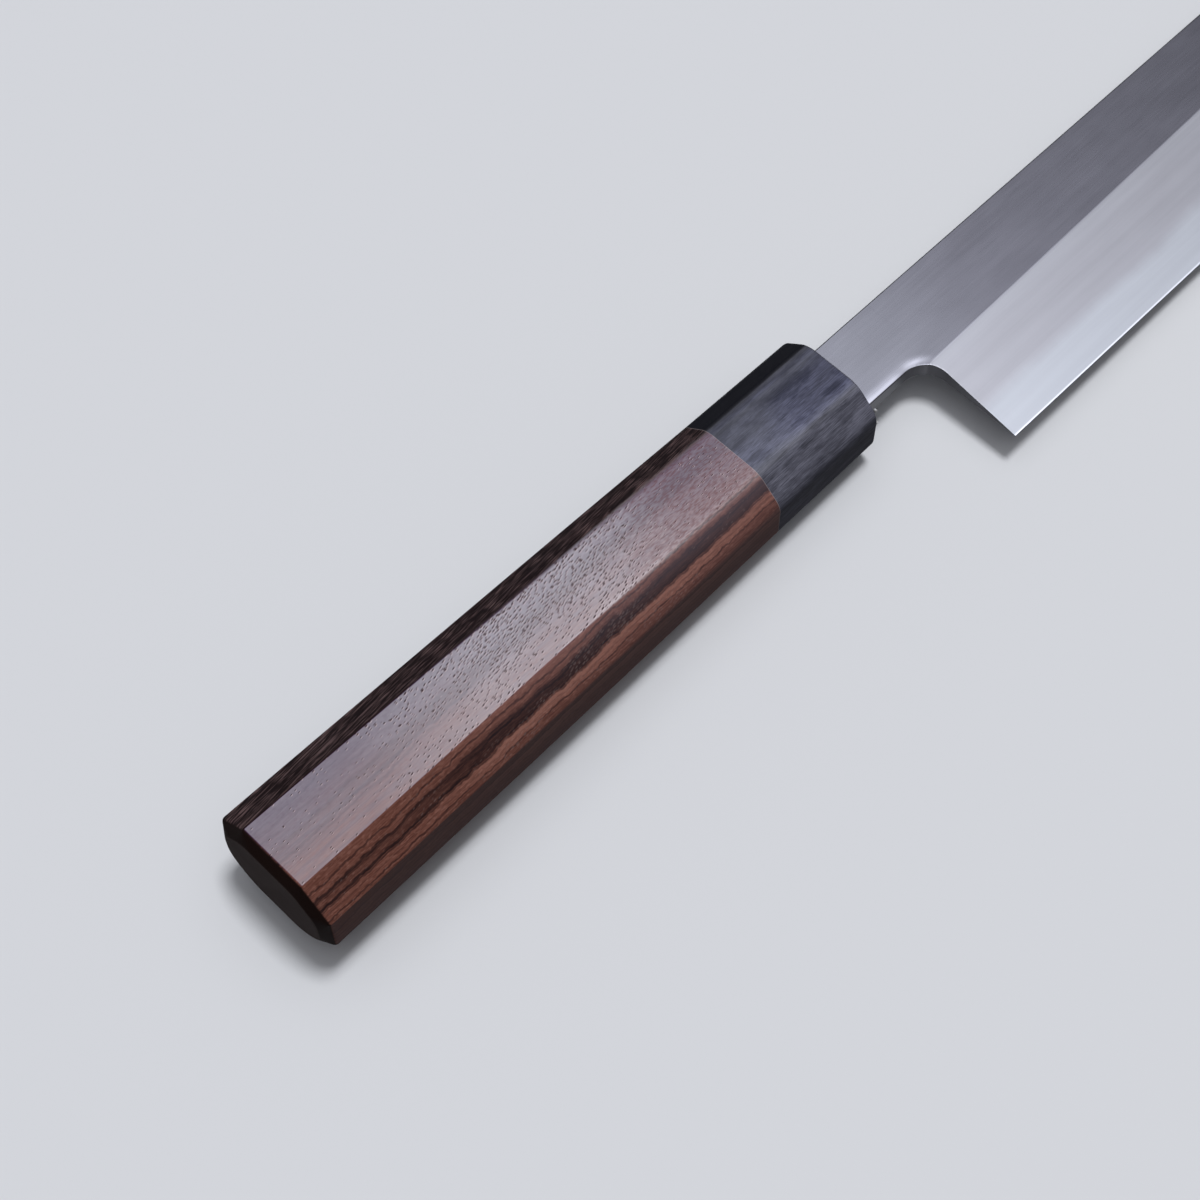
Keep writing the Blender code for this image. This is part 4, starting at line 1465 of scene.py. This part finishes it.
@dataclass
class Blade:
    """Single-bevel blade of two forge-welded metals, with its neck and tang."""

    neck_easing: float = 0.00022
    heel_easing: float = 0.00007
    easing_fades_by: float = 1 / 6
    roll_width: float = 0.0024
    roll_depth: float = 0.00020
    roll_power: float = 2.5
    roll_starts: float = 0.62
    roll_is_full: float = 0.98
    roll_grid: float = 0.00035
    ridge_easing: float = 0.00040
    spine_easing: float = 0.00030
    easing_steps: int = 6
    choil_steps: int = 16
    tang_end_steps: int = 8
    tang_end_rounding: float = 0.98
    clip_steps: int = 10
    strip_length: float = 0.0060
    hollow_depth: float = 0.00035
    rim_at_edge: float = 0.0018
    rim_at_spine: float = 0.0024
    rim_at_heel: float = 0.0030
    hollow_run_out: float = 0.0120
    hollow_steps: int = 24
    run_out_steps: int = 10
    stretch_steps: int = 12
    undercut: float = 0.00005
    tool_margin: float = 0.0100
    back_tolerance: float = 0.000003
    hollow_line_degrees: float = 0.4
    sharp_degrees: float = 30.0

    @property
    def clip_slope(self) -> float:
        """Angle of the clipped front between the spine and the point."""
        return math.atan2(LINES.height, LINES.clip_run)

    @property
    def choil_centre(self) -> Corner:
        """Middle of the choil's round."""
        return LINES.heel_x - LINES.choil_radius, -LINES.spine_y - LINES.choil_radius

    def outline(self) -> Mesh:
        """Flat outline of blade, neck and tang, its corners rounded one by one.

        Returns:
            A mesh of one face.
        """
        setback = LINES.clip_corner_radius * math.tan(self.clip_slope / 2)
        half_end = LINES.tang_end_width / 2
        half_shoulder = LINES.tang_shoulder_width / 2
        shoulder_x = JOINERY.shoulder_x
        corners: list[tuple[Corner, float, int]] = [
            ((LINES.tang_end_x, half_end), half_end * self.tang_end_rounding, self.tang_end_steps),
            ((LINES.tang_end_x, -half_end), half_end * self.tang_end_rounding, self.tang_end_steps),
            ((shoulder_x, -half_shoulder), 0.0, 0),
            ((shoulder_x, -LINES.spine_y), 0.0, 0),
            ((LINES.heel_x, -LINES.spine_y), LINES.choil_radius, self.choil_steps),
            ((LINES.heel_x, LINES.edge_y), 0.0, 0),
            ((LINES.point_x, LINES.edge_y), 0.0, 0),
            ((LINES.point_x - LINES.clip_run, LINES.spine_y), setback, self.clip_steps),
            ((shoulder_x, LINES.spine_y), 0.0, 0),
            ((shoulder_x, half_shoulder), 0.0, 0),
        ]
        bm = bmesh.new()
        verts = [bm.verts.new((x, y, LINES.back_z)) for (x, y), _, _ in corners]
        bm.faces.new(verts)
        for vert, (_, width, steps) in zip(verts, corners):
            if steps:
                bmesh.ops.bevel(bm, geom=[vert], offset=width, segments=steps, profile=0.5,
                                affect="VERTICES", material=-1)
        return bm

    def easing(self, edge: MeshEdge) -> float:
        """Width of a rim's rounding: most under the neck, fading round the choil, none on edge and tang.

        Args:
            edge: Edge of the plain plate.

        Returns:
            The width.
        """
        start, end = (vert.co for vert in edge.verts)
        middle = (start + end) / 2
        upright = abs(start.z - end.z) > MERGE_DISTANCE
        on_tang = middle.x < JOINERY.shoulder_x + MERGE_DISTANCE
        on_edge = middle.y < LINES.edge_y + MERGE_DISTANCE
        if upright or on_tang or on_edge:
            return 0.0
        if middle.x > LINES.heel_x + MERGE_DISTANCE or middle.y > 0:
            return self.spine_easing
        round_choil = (-LINES.spine_y - middle.y) / LINES.choil_radius / self.easing_fades_by
        return mix(self.neck_easing, self.heel_easing, max(0.0, min(1.0, round_choil)))

    def roll(self, x: float, y: float) -> float:
        """How far the upper face rolls down to the neck's lower rim and the first half of the choil.

        Args:
            x: Station of a place on the face.
            y: How high it lies.

        Returns:
            The drop there.
        """
        centre_x, centre_y = self.choil_centre
        round_choil = math.hypot(max(0.0, x - centre_x), max(0.0, y - centre_y))
        near = min(1.0, max(0.0, 1 - (round_choil - LINES.choil_radius) / self.roll_width))
        risen = (y - centre_y) / LINES.choil_radius - self.roll_starts
        fade = min(1.0, max(0.0, risen) / (self.roll_is_full - self.roll_starts))
        return self.roll_depth * near ** self.roll_power * fade

    def ridge_sag(self, x: float, y: float) -> float:
        """How much lower the rounded ridge is than the crisp line where its two faces would meet.

        Args:
            x: Station of a place on the upper face.
            y: How high it lies.

        Returns:
            The drop there.
        """
        slope = (LINES.flat_thickness(x) - LINES.edge_land) / (LINES.ridge_y(x) - LINES.edge_y)
        near = max(0.0, 1 - abs(y - LINES.ridge_y(x)) / self.ridge_easing)
        return slope * self.ridge_easing / 4 * near ** 2

    def split_rolled_rim(self, bm: Mesh) -> None:
        """Lays a fine grid over the part of the upper face that rolls down.

        Args:
            bm: Mesh of the plate, still flat.
        """
        start = Vector((JOINERY.shoulder_x, self.choil_centre[1], 0))
        end = Vector((LINES.heel_x + self.roll_width, -LINES.spine_y + self.roll_width, 0))
        for axis, normal in ((0, Vector((1, 0, 0))), (1, Vector((0, 1, 0)))):
            steps = math.ceil((end[axis] - start[axis]) / self.roll_grid)
            for step in range(steps + 1):
                faces = [face for face in bm.faces if self.is_rolled(face, start, end)]
                split_at(bm, start.lerp(end, step / steps), normal, faces)

    def is_rolled(self, face: MeshFace, start: Vector, end: Vector) -> bool:
        """Tells whether a face of the upper side reaches into a rectangle.

        Args:
            face: Any face of the plate.
            start: Lowest corner of the rectangle.
            end: Highest corner of the rectangle.

        Returns:
            True where it does.
        """
        if face.calc_center_median().z < LINES.spine_thickness / 2 - MERGE_DISTANCE:
            return False
        spans = [(min(vert.co[axis] for vert in face.verts), max(vert.co[axis] for vert in face.verts))
                 for axis in (0, 1)]
        return all(low < end[axis] and high > start[axis] for axis, (low, high) in enumerate(spans))

    def plate(self) -> Mesh:
        """Plate of even thickness in the blade's outline, its rims rounded.

        Returns:
            The mesh.
        """
        bm = self.outline()
        raised = bmesh.ops.extrude_face_region(bm, geom=list(bm.faces), use_keep_orig=True)
        top = [item for item in raised["geom"] if isinstance(item, bmesh.types.BMVert)]
        bmesh.ops.translate(bm, verts=top, vec=(0, 0, LINES.spine_thickness))
        bmesh.ops.recalc_face_normals(bm, faces=bm.faces)
        weight = bm.edges.layers.float.new("bevel_weight_edge")
        for edge in bm.edges:
            edge[weight] = self.easing(edge) / self.neck_easing
        holder = closed_object("eased_plate", bm)
        rounding = holder.modifiers.new("rounding", "BEVEL")
        rounding.limit_method = "WEIGHT"
        rounding.width = self.neck_easing
        rounding.segments = self.easing_steps
        return evaluated(holder)

    def form(self) -> Mesh:
        """The whole forged blade and tang, before its layers are told apart.

        Returns:
            The mesh.
        """
        bm = self.plate()
        run = Vector((LINES.length, LINES.ridge_y(LINES.point_x) - LINES.ridge_y(LINES.heel_x), 0))
        for offset in (-self.ridge_easing, 0.0, self.ridge_easing):
            place = Vector((LINES.heel_x, LINES.ridge_y(LINES.heel_x) + offset, 0))
            split_at(bm, place, Vector((-run.y, run.x, 0)), list(bm.faces))
        strips = math.ceil((LINES.point_x - JOINERY.shoulder_x) / self.strip_length)
        for strip in range(1, strips):
            station = mix(JOINERY.shoulder_x, LINES.point_x, strip / strips)
            split_at(bm, Vector((station, 0, 0)), Vector((1, 0, 0)), list(bm.faces))
        self.split_rolled_rim(bm)
        for vert in bm.verts:
            x, y, z = vert.co
            share = z / LINES.spine_thickness + 0.5
            thickness = LINES.thickness(x, y) - self.roll(x, y) - self.ridge_sag(x, y)
            low = -thickness / 2 if x < JOINERY.shoulder_x else LINES.back_z
            vert.co.z = low + share * thickness
        bmesh.ops.triangulate(bm, faces=bm.faces)
        return bm

    def steel_space(self) -> Mesh:
        """The space of the hard steel: a layer over the back, and the whole bevel near the edge.

        Returns:
            A closed mesh.
        """
        low_z = LINES.back_z - self.tool_margin
        far_y = LINES.edge_y - self.tool_margin
        wall_y = LINES.spine_y - LINES.steel_below_spine
        sections = []
        for x in (LINES.heel_x - LINES.steel_behind_heel, LINES.point_x + self.tool_margin):
            along = LINES.along(x)
            roof_z = LINES.back_z + mix(LINES.steel_layer_at_heel, LINES.steel_layer_at_point, along)
            toe_y = LINES.edge_y + mix(LINES.steel_shown_at_heel, LINES.steel_shown_at_point, along)
            section = [(far_y, low_z), (wall_y, low_z), (wall_y, roof_z), (toe_y, roof_z),
                       (toe_y, self.tool_margin), (far_y, self.tool_margin)]
            sections.append([Vector((x, y, z)) for y, z in section])
        return loft(sections)

    def hollow_top(self, x: float) -> float:
        """Upper limit of the hollow: under the spine, then beside the clipped front.

        Args:
            x: The station.

        Returns:
            How high the hollow reaches there.
        """
        under_spine = LINES.spine_y - self.rim_at_spine
        rim_along_x = self.rim_at_spine / math.sin(self.clip_slope)
        beside_clip = LINES.edge_y + (LINES.point_x - rim_along_x - x) * LINES.height / LINES.clip_run
        return min(under_spine, beside_clip)

    def hollow_space(self) -> Mesh:
        """The shallow hollow in the back: wide, round in section, fading out at both ends.

        Returns:
            A closed mesh.
        """
        low_y = LINES.edge_y + self.rim_at_edge
        start_x = LINES.heel_x + self.rim_at_heel
        full_x = start_x + self.hollow_run_out
        full_width = LINES.spine_y - self.rim_at_spine - low_y
        clip_start = LINES.point_x - LINES.clip_run
        share_of_clip = (self.rim_at_edge + self.rim_at_spine * 2) / LINES.height
        end_x = LINES.point_x - LINES.clip_run * share_of_clip - self.rim_at_spine
        stations = [mix(full_x, start_x, math.cos(math.pi / 2 * step / self.run_out_steps))
                    for step in range(self.run_out_steps)]
        stations += [mix(full_x, clip_start, step / self.stretch_steps) for step in range(self.stretch_steps)]
        stations += [mix(clip_start, end_x, step / self.stretch_steps)
                     for step in range(self.stretch_steps + 1)]
        shares = [step / self.hollow_steps for step in range(self.hollow_steps + 1)]
        sections = []
        for x in stations:
            width = self.hollow_top(x) - low_y
            behind = max(0.0, (full_x - x) / self.hollow_run_out)
            fade = math.sqrt(max(0.0, 1 - behind * behind))
            rise = (self.hollow_depth + self.undercut) * fade * (width / full_width) ** 2
            section = [(low_y + share * width, 4 * share * (1 - share) * rise - self.undercut)
                       for share in shares]
            section += [(low_y + width, -self.tool_margin), (low_y, -self.tool_margin)]
            sections.append([Vector((x, y, LINES.back_z + z)) for y, z in section])
        return loft(sections)

    def mark_lines(self, bm: Mesh) -> None:
        """Keeps the border of the hollow crisp.

        Args:
            bm: Mesh of one metal.
        """
        least = math.radians(self.hollow_line_degrees)
        for edge in bm.edges:
            on_back = all(abs(vert.co.z - LINES.back_z) < self.back_tolerance for vert in edge.verts)
            if edge.is_manifold and on_back and edge.calc_face_angle() > least:
                edge.smooth = False

    def build(self) -> dict[BladeLayer, Piece]:
        """Meshes of the two metals, which meet without a gap.

        Returns:
            The finished piece of each metal.
        """
        form, steel_space, hollow_space = self.form(), self.steel_space(), self.hollow_space()
        cuts = {
            BladeLayer.SOFT_IRON: ("iron_of_blade", [(steel_space, Combine.TAKE_AWAY)]),
            BladeLayer.HARD_STEEL: ("steel_of_blade", [(steel_space, Combine.KEEP_ONLY),
                                                       (hollow_space, Combine.TAKE_AWAY)]),
        }
        meshes = {layer: combined(form, tools) for layer, (_, tools) in cuts.items()}
        pieces = {}
        for layer, bm in meshes.items():
            self.mark_lines(bm)
            pieces[layer] = closed_object(cuts[layer][0], bm)
            smooth(pieces[layer], self.sharp_degrees)
        for tool in (form, steel_space, hollow_space):
            tool.free()
        return pieces

    def dress(self, pieces: Mapping[BladeLayer, Piece], effects: Effects) -> None:
        """Finishes both metals and puts them in the place of their nodes.

        Args:
            pieces: Finished piece of each metal.
            effects: The shared effects.
        """
        slots = {BladeLayer.SOFT_IRON: ("soft_iron", "blade_soft_iron"),
                 BladeLayer.HARD_STEEL: ("hard_steel", "blade_hard_steel")}
        for layer, piece in pieces.items():
            dress(piece, GroundSteelFinish(layer).material(effects))
            install(piece, *slots[layer])


@dataclass
class MouthSeal:
    """Clear resin round the neck in the ferrule's mouth, and the beads that squeezed out at its corner."""

    corner: float = 0.0005
    corner_steps: int = 4
    dish: float = 0.00035
    lip: float = 0.00020
    neck_gap: float = 0.00002
    seal_sharp_degrees: float = 50.0
    bead_sharp_degrees: float = 80.0
    bead_subdivisions: int = 3
    bead_squash: tuple[float, float, float, float] = (0.7, 1.0, 1.25, 1.0)
    beads: tuple[tuple[Colour, float], ...] = (
        ((0.13010, -0.00775, 0.00150), 0.00045),
        ((0.13012, -0.01010, 0.00535), 0.00034),
        ((0.13010, -0.01068, 0.00220), 0.00034),
    )

    def build(self) -> list[Piece]:
        """Meshes of the seal and its beads.

        Returns:
            The finished pieces.
        """
        room = JOINERY.fit_gap + JOINERY.seal_wall
        inner, outer = [(LINES.spine_y + gap, LINES.spine_thickness / 2 + gap)
                        for gap in (self.neck_gap, room)]
        middle = tuple(mix(near, far, 0.5) for near, far in zip(inner, outer))
        start_x = TAPER.length - JOINERY.seal_depth
        top_x = TAPER.length + JOINERY.seal_proud
        profile = [(start_x, inner), (start_x, outer), (top_x - self.lip, outer), (top_x - self.dish, middle),
                   (top_x, inner)]
        bm = bmesh.new()
        rings = [rounded_ring(bm, box_corners(x, *half), self.corner, self.corner_steps)
                 for x, half in profile]
        bridge(bm, rings + [rings[0]])
        seal = closed_object("mouth_resin", bm)
        smooth(seal, self.seal_sharp_degrees)
        bm = bmesh.new()
        for place, radius in self.beads:
            squash = Matrix.Translation(place) @ Matrix.Diagonal(self.bead_squash)
            bmesh.ops.create_icosphere(bm, subdivisions=self.bead_subdivisions, radius=radius,
                                       matrix=squash)
        beads = closed_object("resin_beads", bm)
        smooth(beads, self.bead_sharp_degrees)
        return [seal, beads]

    def dress(self, pieces: Sequence[Piece], effects: Effects) -> None:
        """Finishes the resin and puts it in the place of its node.

        Args:
            pieces: The seal and its beads.
            effects: The shared effects.
        """
        seal, beads = pieces
        clear = ResinFinish("clear_resin_in_mouth", (0.040, 0.040, 0.045), (0.110, 0.110, 0.120), 0.22)
        cloudy = ResinFinish("cloudy_resin_beads", (0.42, 0.41, 0.40), (0.74, 0.74, 0.74), 0.30)
        dress(seal, clear.material(effects))
        dress(beads, cloudy.material(effects))
        install(seal, "clear_resin", "mouth_seal")
        install(beads, "clear_resin")


@dataclass
class InnerJoinery:
    """Dowel and bedding inside the handle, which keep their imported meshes."""

    dowel: HardwoodFinish = HardwoodFinish()
    bedding: ResinFinish = ResinFinish("amber_set_resin", (0.34, 0.22, 0.10), (0.50, 0.38, 0.22), 0.30)

    def dress(self, effects: Effects) -> None:
        """Finishes the two inner nodes.

        Args:
            effects: The shared effects.
        """
        for node, finish in (("joining_dowel", self.dowel), ("tang_bedding", self.bedding)):
            dress(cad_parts[node], finish.material(effects))
            LOG.info("%s: packed mesh with a new finish", node)


# Studio


@dataclass
class Studio:
    """Pale floor under the knife, one soft overhead light, grey walls and the camera."""

    rest_x: float = 0.1286
    rest_z: float = -0.00931
    floor_slope: float = 0.0388
    floor_size: float = 6.0
    floor_segments: int = 8
    key_direction: Colour = (0.140, -0.028, 0.990)
    key_strength: float = 2.05
    key_colour: Colour = (0.950, 0.972, 1.025)
    key_angle_degrees: float = 13.0
    ceiling: Colour = (0.960, 0.985, 1.060)
    walls: Colour = (0.110, 0.112, 0.122)
    glow: Zone = (0.73, 0.93)
    azimuth_degrees: float = -44.455
    elevation_degrees: float = 61.791
    roll_degrees: float = -0.825
    distance: float = 0.417338
    target: Colour = (0.072875, -0.000441, 0.0)
    lens: float = 75.0
    sensor_width: float = 36.0
    clip_start: float = 0.01
    clip_end: float = 50.0

    def build_floor(self) -> None:
        """Floor that touches the ferrule's lower rim and the blade's point."""
        bm = bmesh.new()
        tilt = Matrix.Rotation(-math.atan(self.floor_slope), 4, "Y")
        place = Matrix.Translation((self.rest_x, 0, self.rest_z)) @ tilt
        bmesh.ops.create_grid(bm, x_segments=self.floor_segments, y_segments=self.floor_segments,
                              size=self.floor_size / 2, matrix=place)
        floor = closed_object("floor", bm)
        if floor.data.polygons[0].normal.z < 0:
            floor.data.flip_normals()
        dress(floor, FloorFinish().material())

    def build_light(self) -> None:
        """Soft light from almost straight above, with a glow round it that fades down to plain walls."""
        lamp = bpy.data.lights.new("overhead_softbox", "SUN")
        lamp.energy = self.key_strength
        lamp.angle = math.radians(self.key_angle_degrees)
        lamp.color = self.key_colour
        holder = bpy.data.objects.new("overhead_softbox", lamp)
        holder.rotation_euler = Vector(self.key_direction).to_track_quat("Z", "Y").to_euler()
        bpy.context.scene.collection.objects.link(holder)
        world = bpy.data.worlds.new("studio")
        bpy.context.scene.world = world
        world.use_nodes = True
        graph = Graph(world.node_tree)
        rise = graph.coordinates("Generated").parts()[2]
        colour = graph.blend(rise.step(*self.glow), self.walls, self.ceiling)
        graph.feed(world.node_tree.nodes["Background"].inputs["Color"], colour)

    def build_camera(self) -> None:
        """Camera at the photograph's viewing angle."""
        azimuth, elevation = math.radians(self.azimuth_degrees), math.radians(self.elevation_degrees)
        roll = math.radians(self.roll_degrees)
        back = Vector((math.sin(azimuth) * math.cos(elevation), -math.cos(azimuth) * math.cos(elevation),
                       math.sin(elevation)))
        level = Vector((math.cos(azimuth), math.sin(azimuth), 0))
        upright = back.cross(level)
        right = level * math.cos(roll) + upright * math.sin(roll)
        up = upright * math.cos(roll) - level * math.sin(roll)
        turn = Matrix((right, up, back)).transposed().to_4x4()
        camera = bpy.data.cameras.new("camera")
        camera.lens = self.lens
        camera.sensor_width = self.sensor_width
        camera.clip_start = self.clip_start
        camera.clip_end = self.clip_end
        holder = bpy.data.objects.new("camera", camera)
        holder.matrix_world = Matrix.Translation(Vector(self.target) + back * self.distance) @ turn
        bpy.context.scene.collection.objects.link(holder)
        bpy.context.scene.camera = holder
        bpy.context.scene.view_settings.view_transform = "Standard"


def main() -> None:
    """Builds, dresses and lights the knife."""
    logging.basicConfig(level=logging.INFO, format="%(message)s")
    effects = Effects(fibres=fibre_effect(), growth=growth_effect(), vessels=vessel_effect(),
                      clouds=cloud_effect(), polish=polish_effect(), blade_zones=blade_zone_effect())
    studio = Studio()
    studio.build_camera()
    studio.build_light()
    studio.build_floor()
    for part in (HandleBody(), Ferrule(), Blade(), MouthSeal()):
        part.dress(part.build(), effects)
    InnerJoinery().dress(effects)


if __name__ == "__main__":
    main()
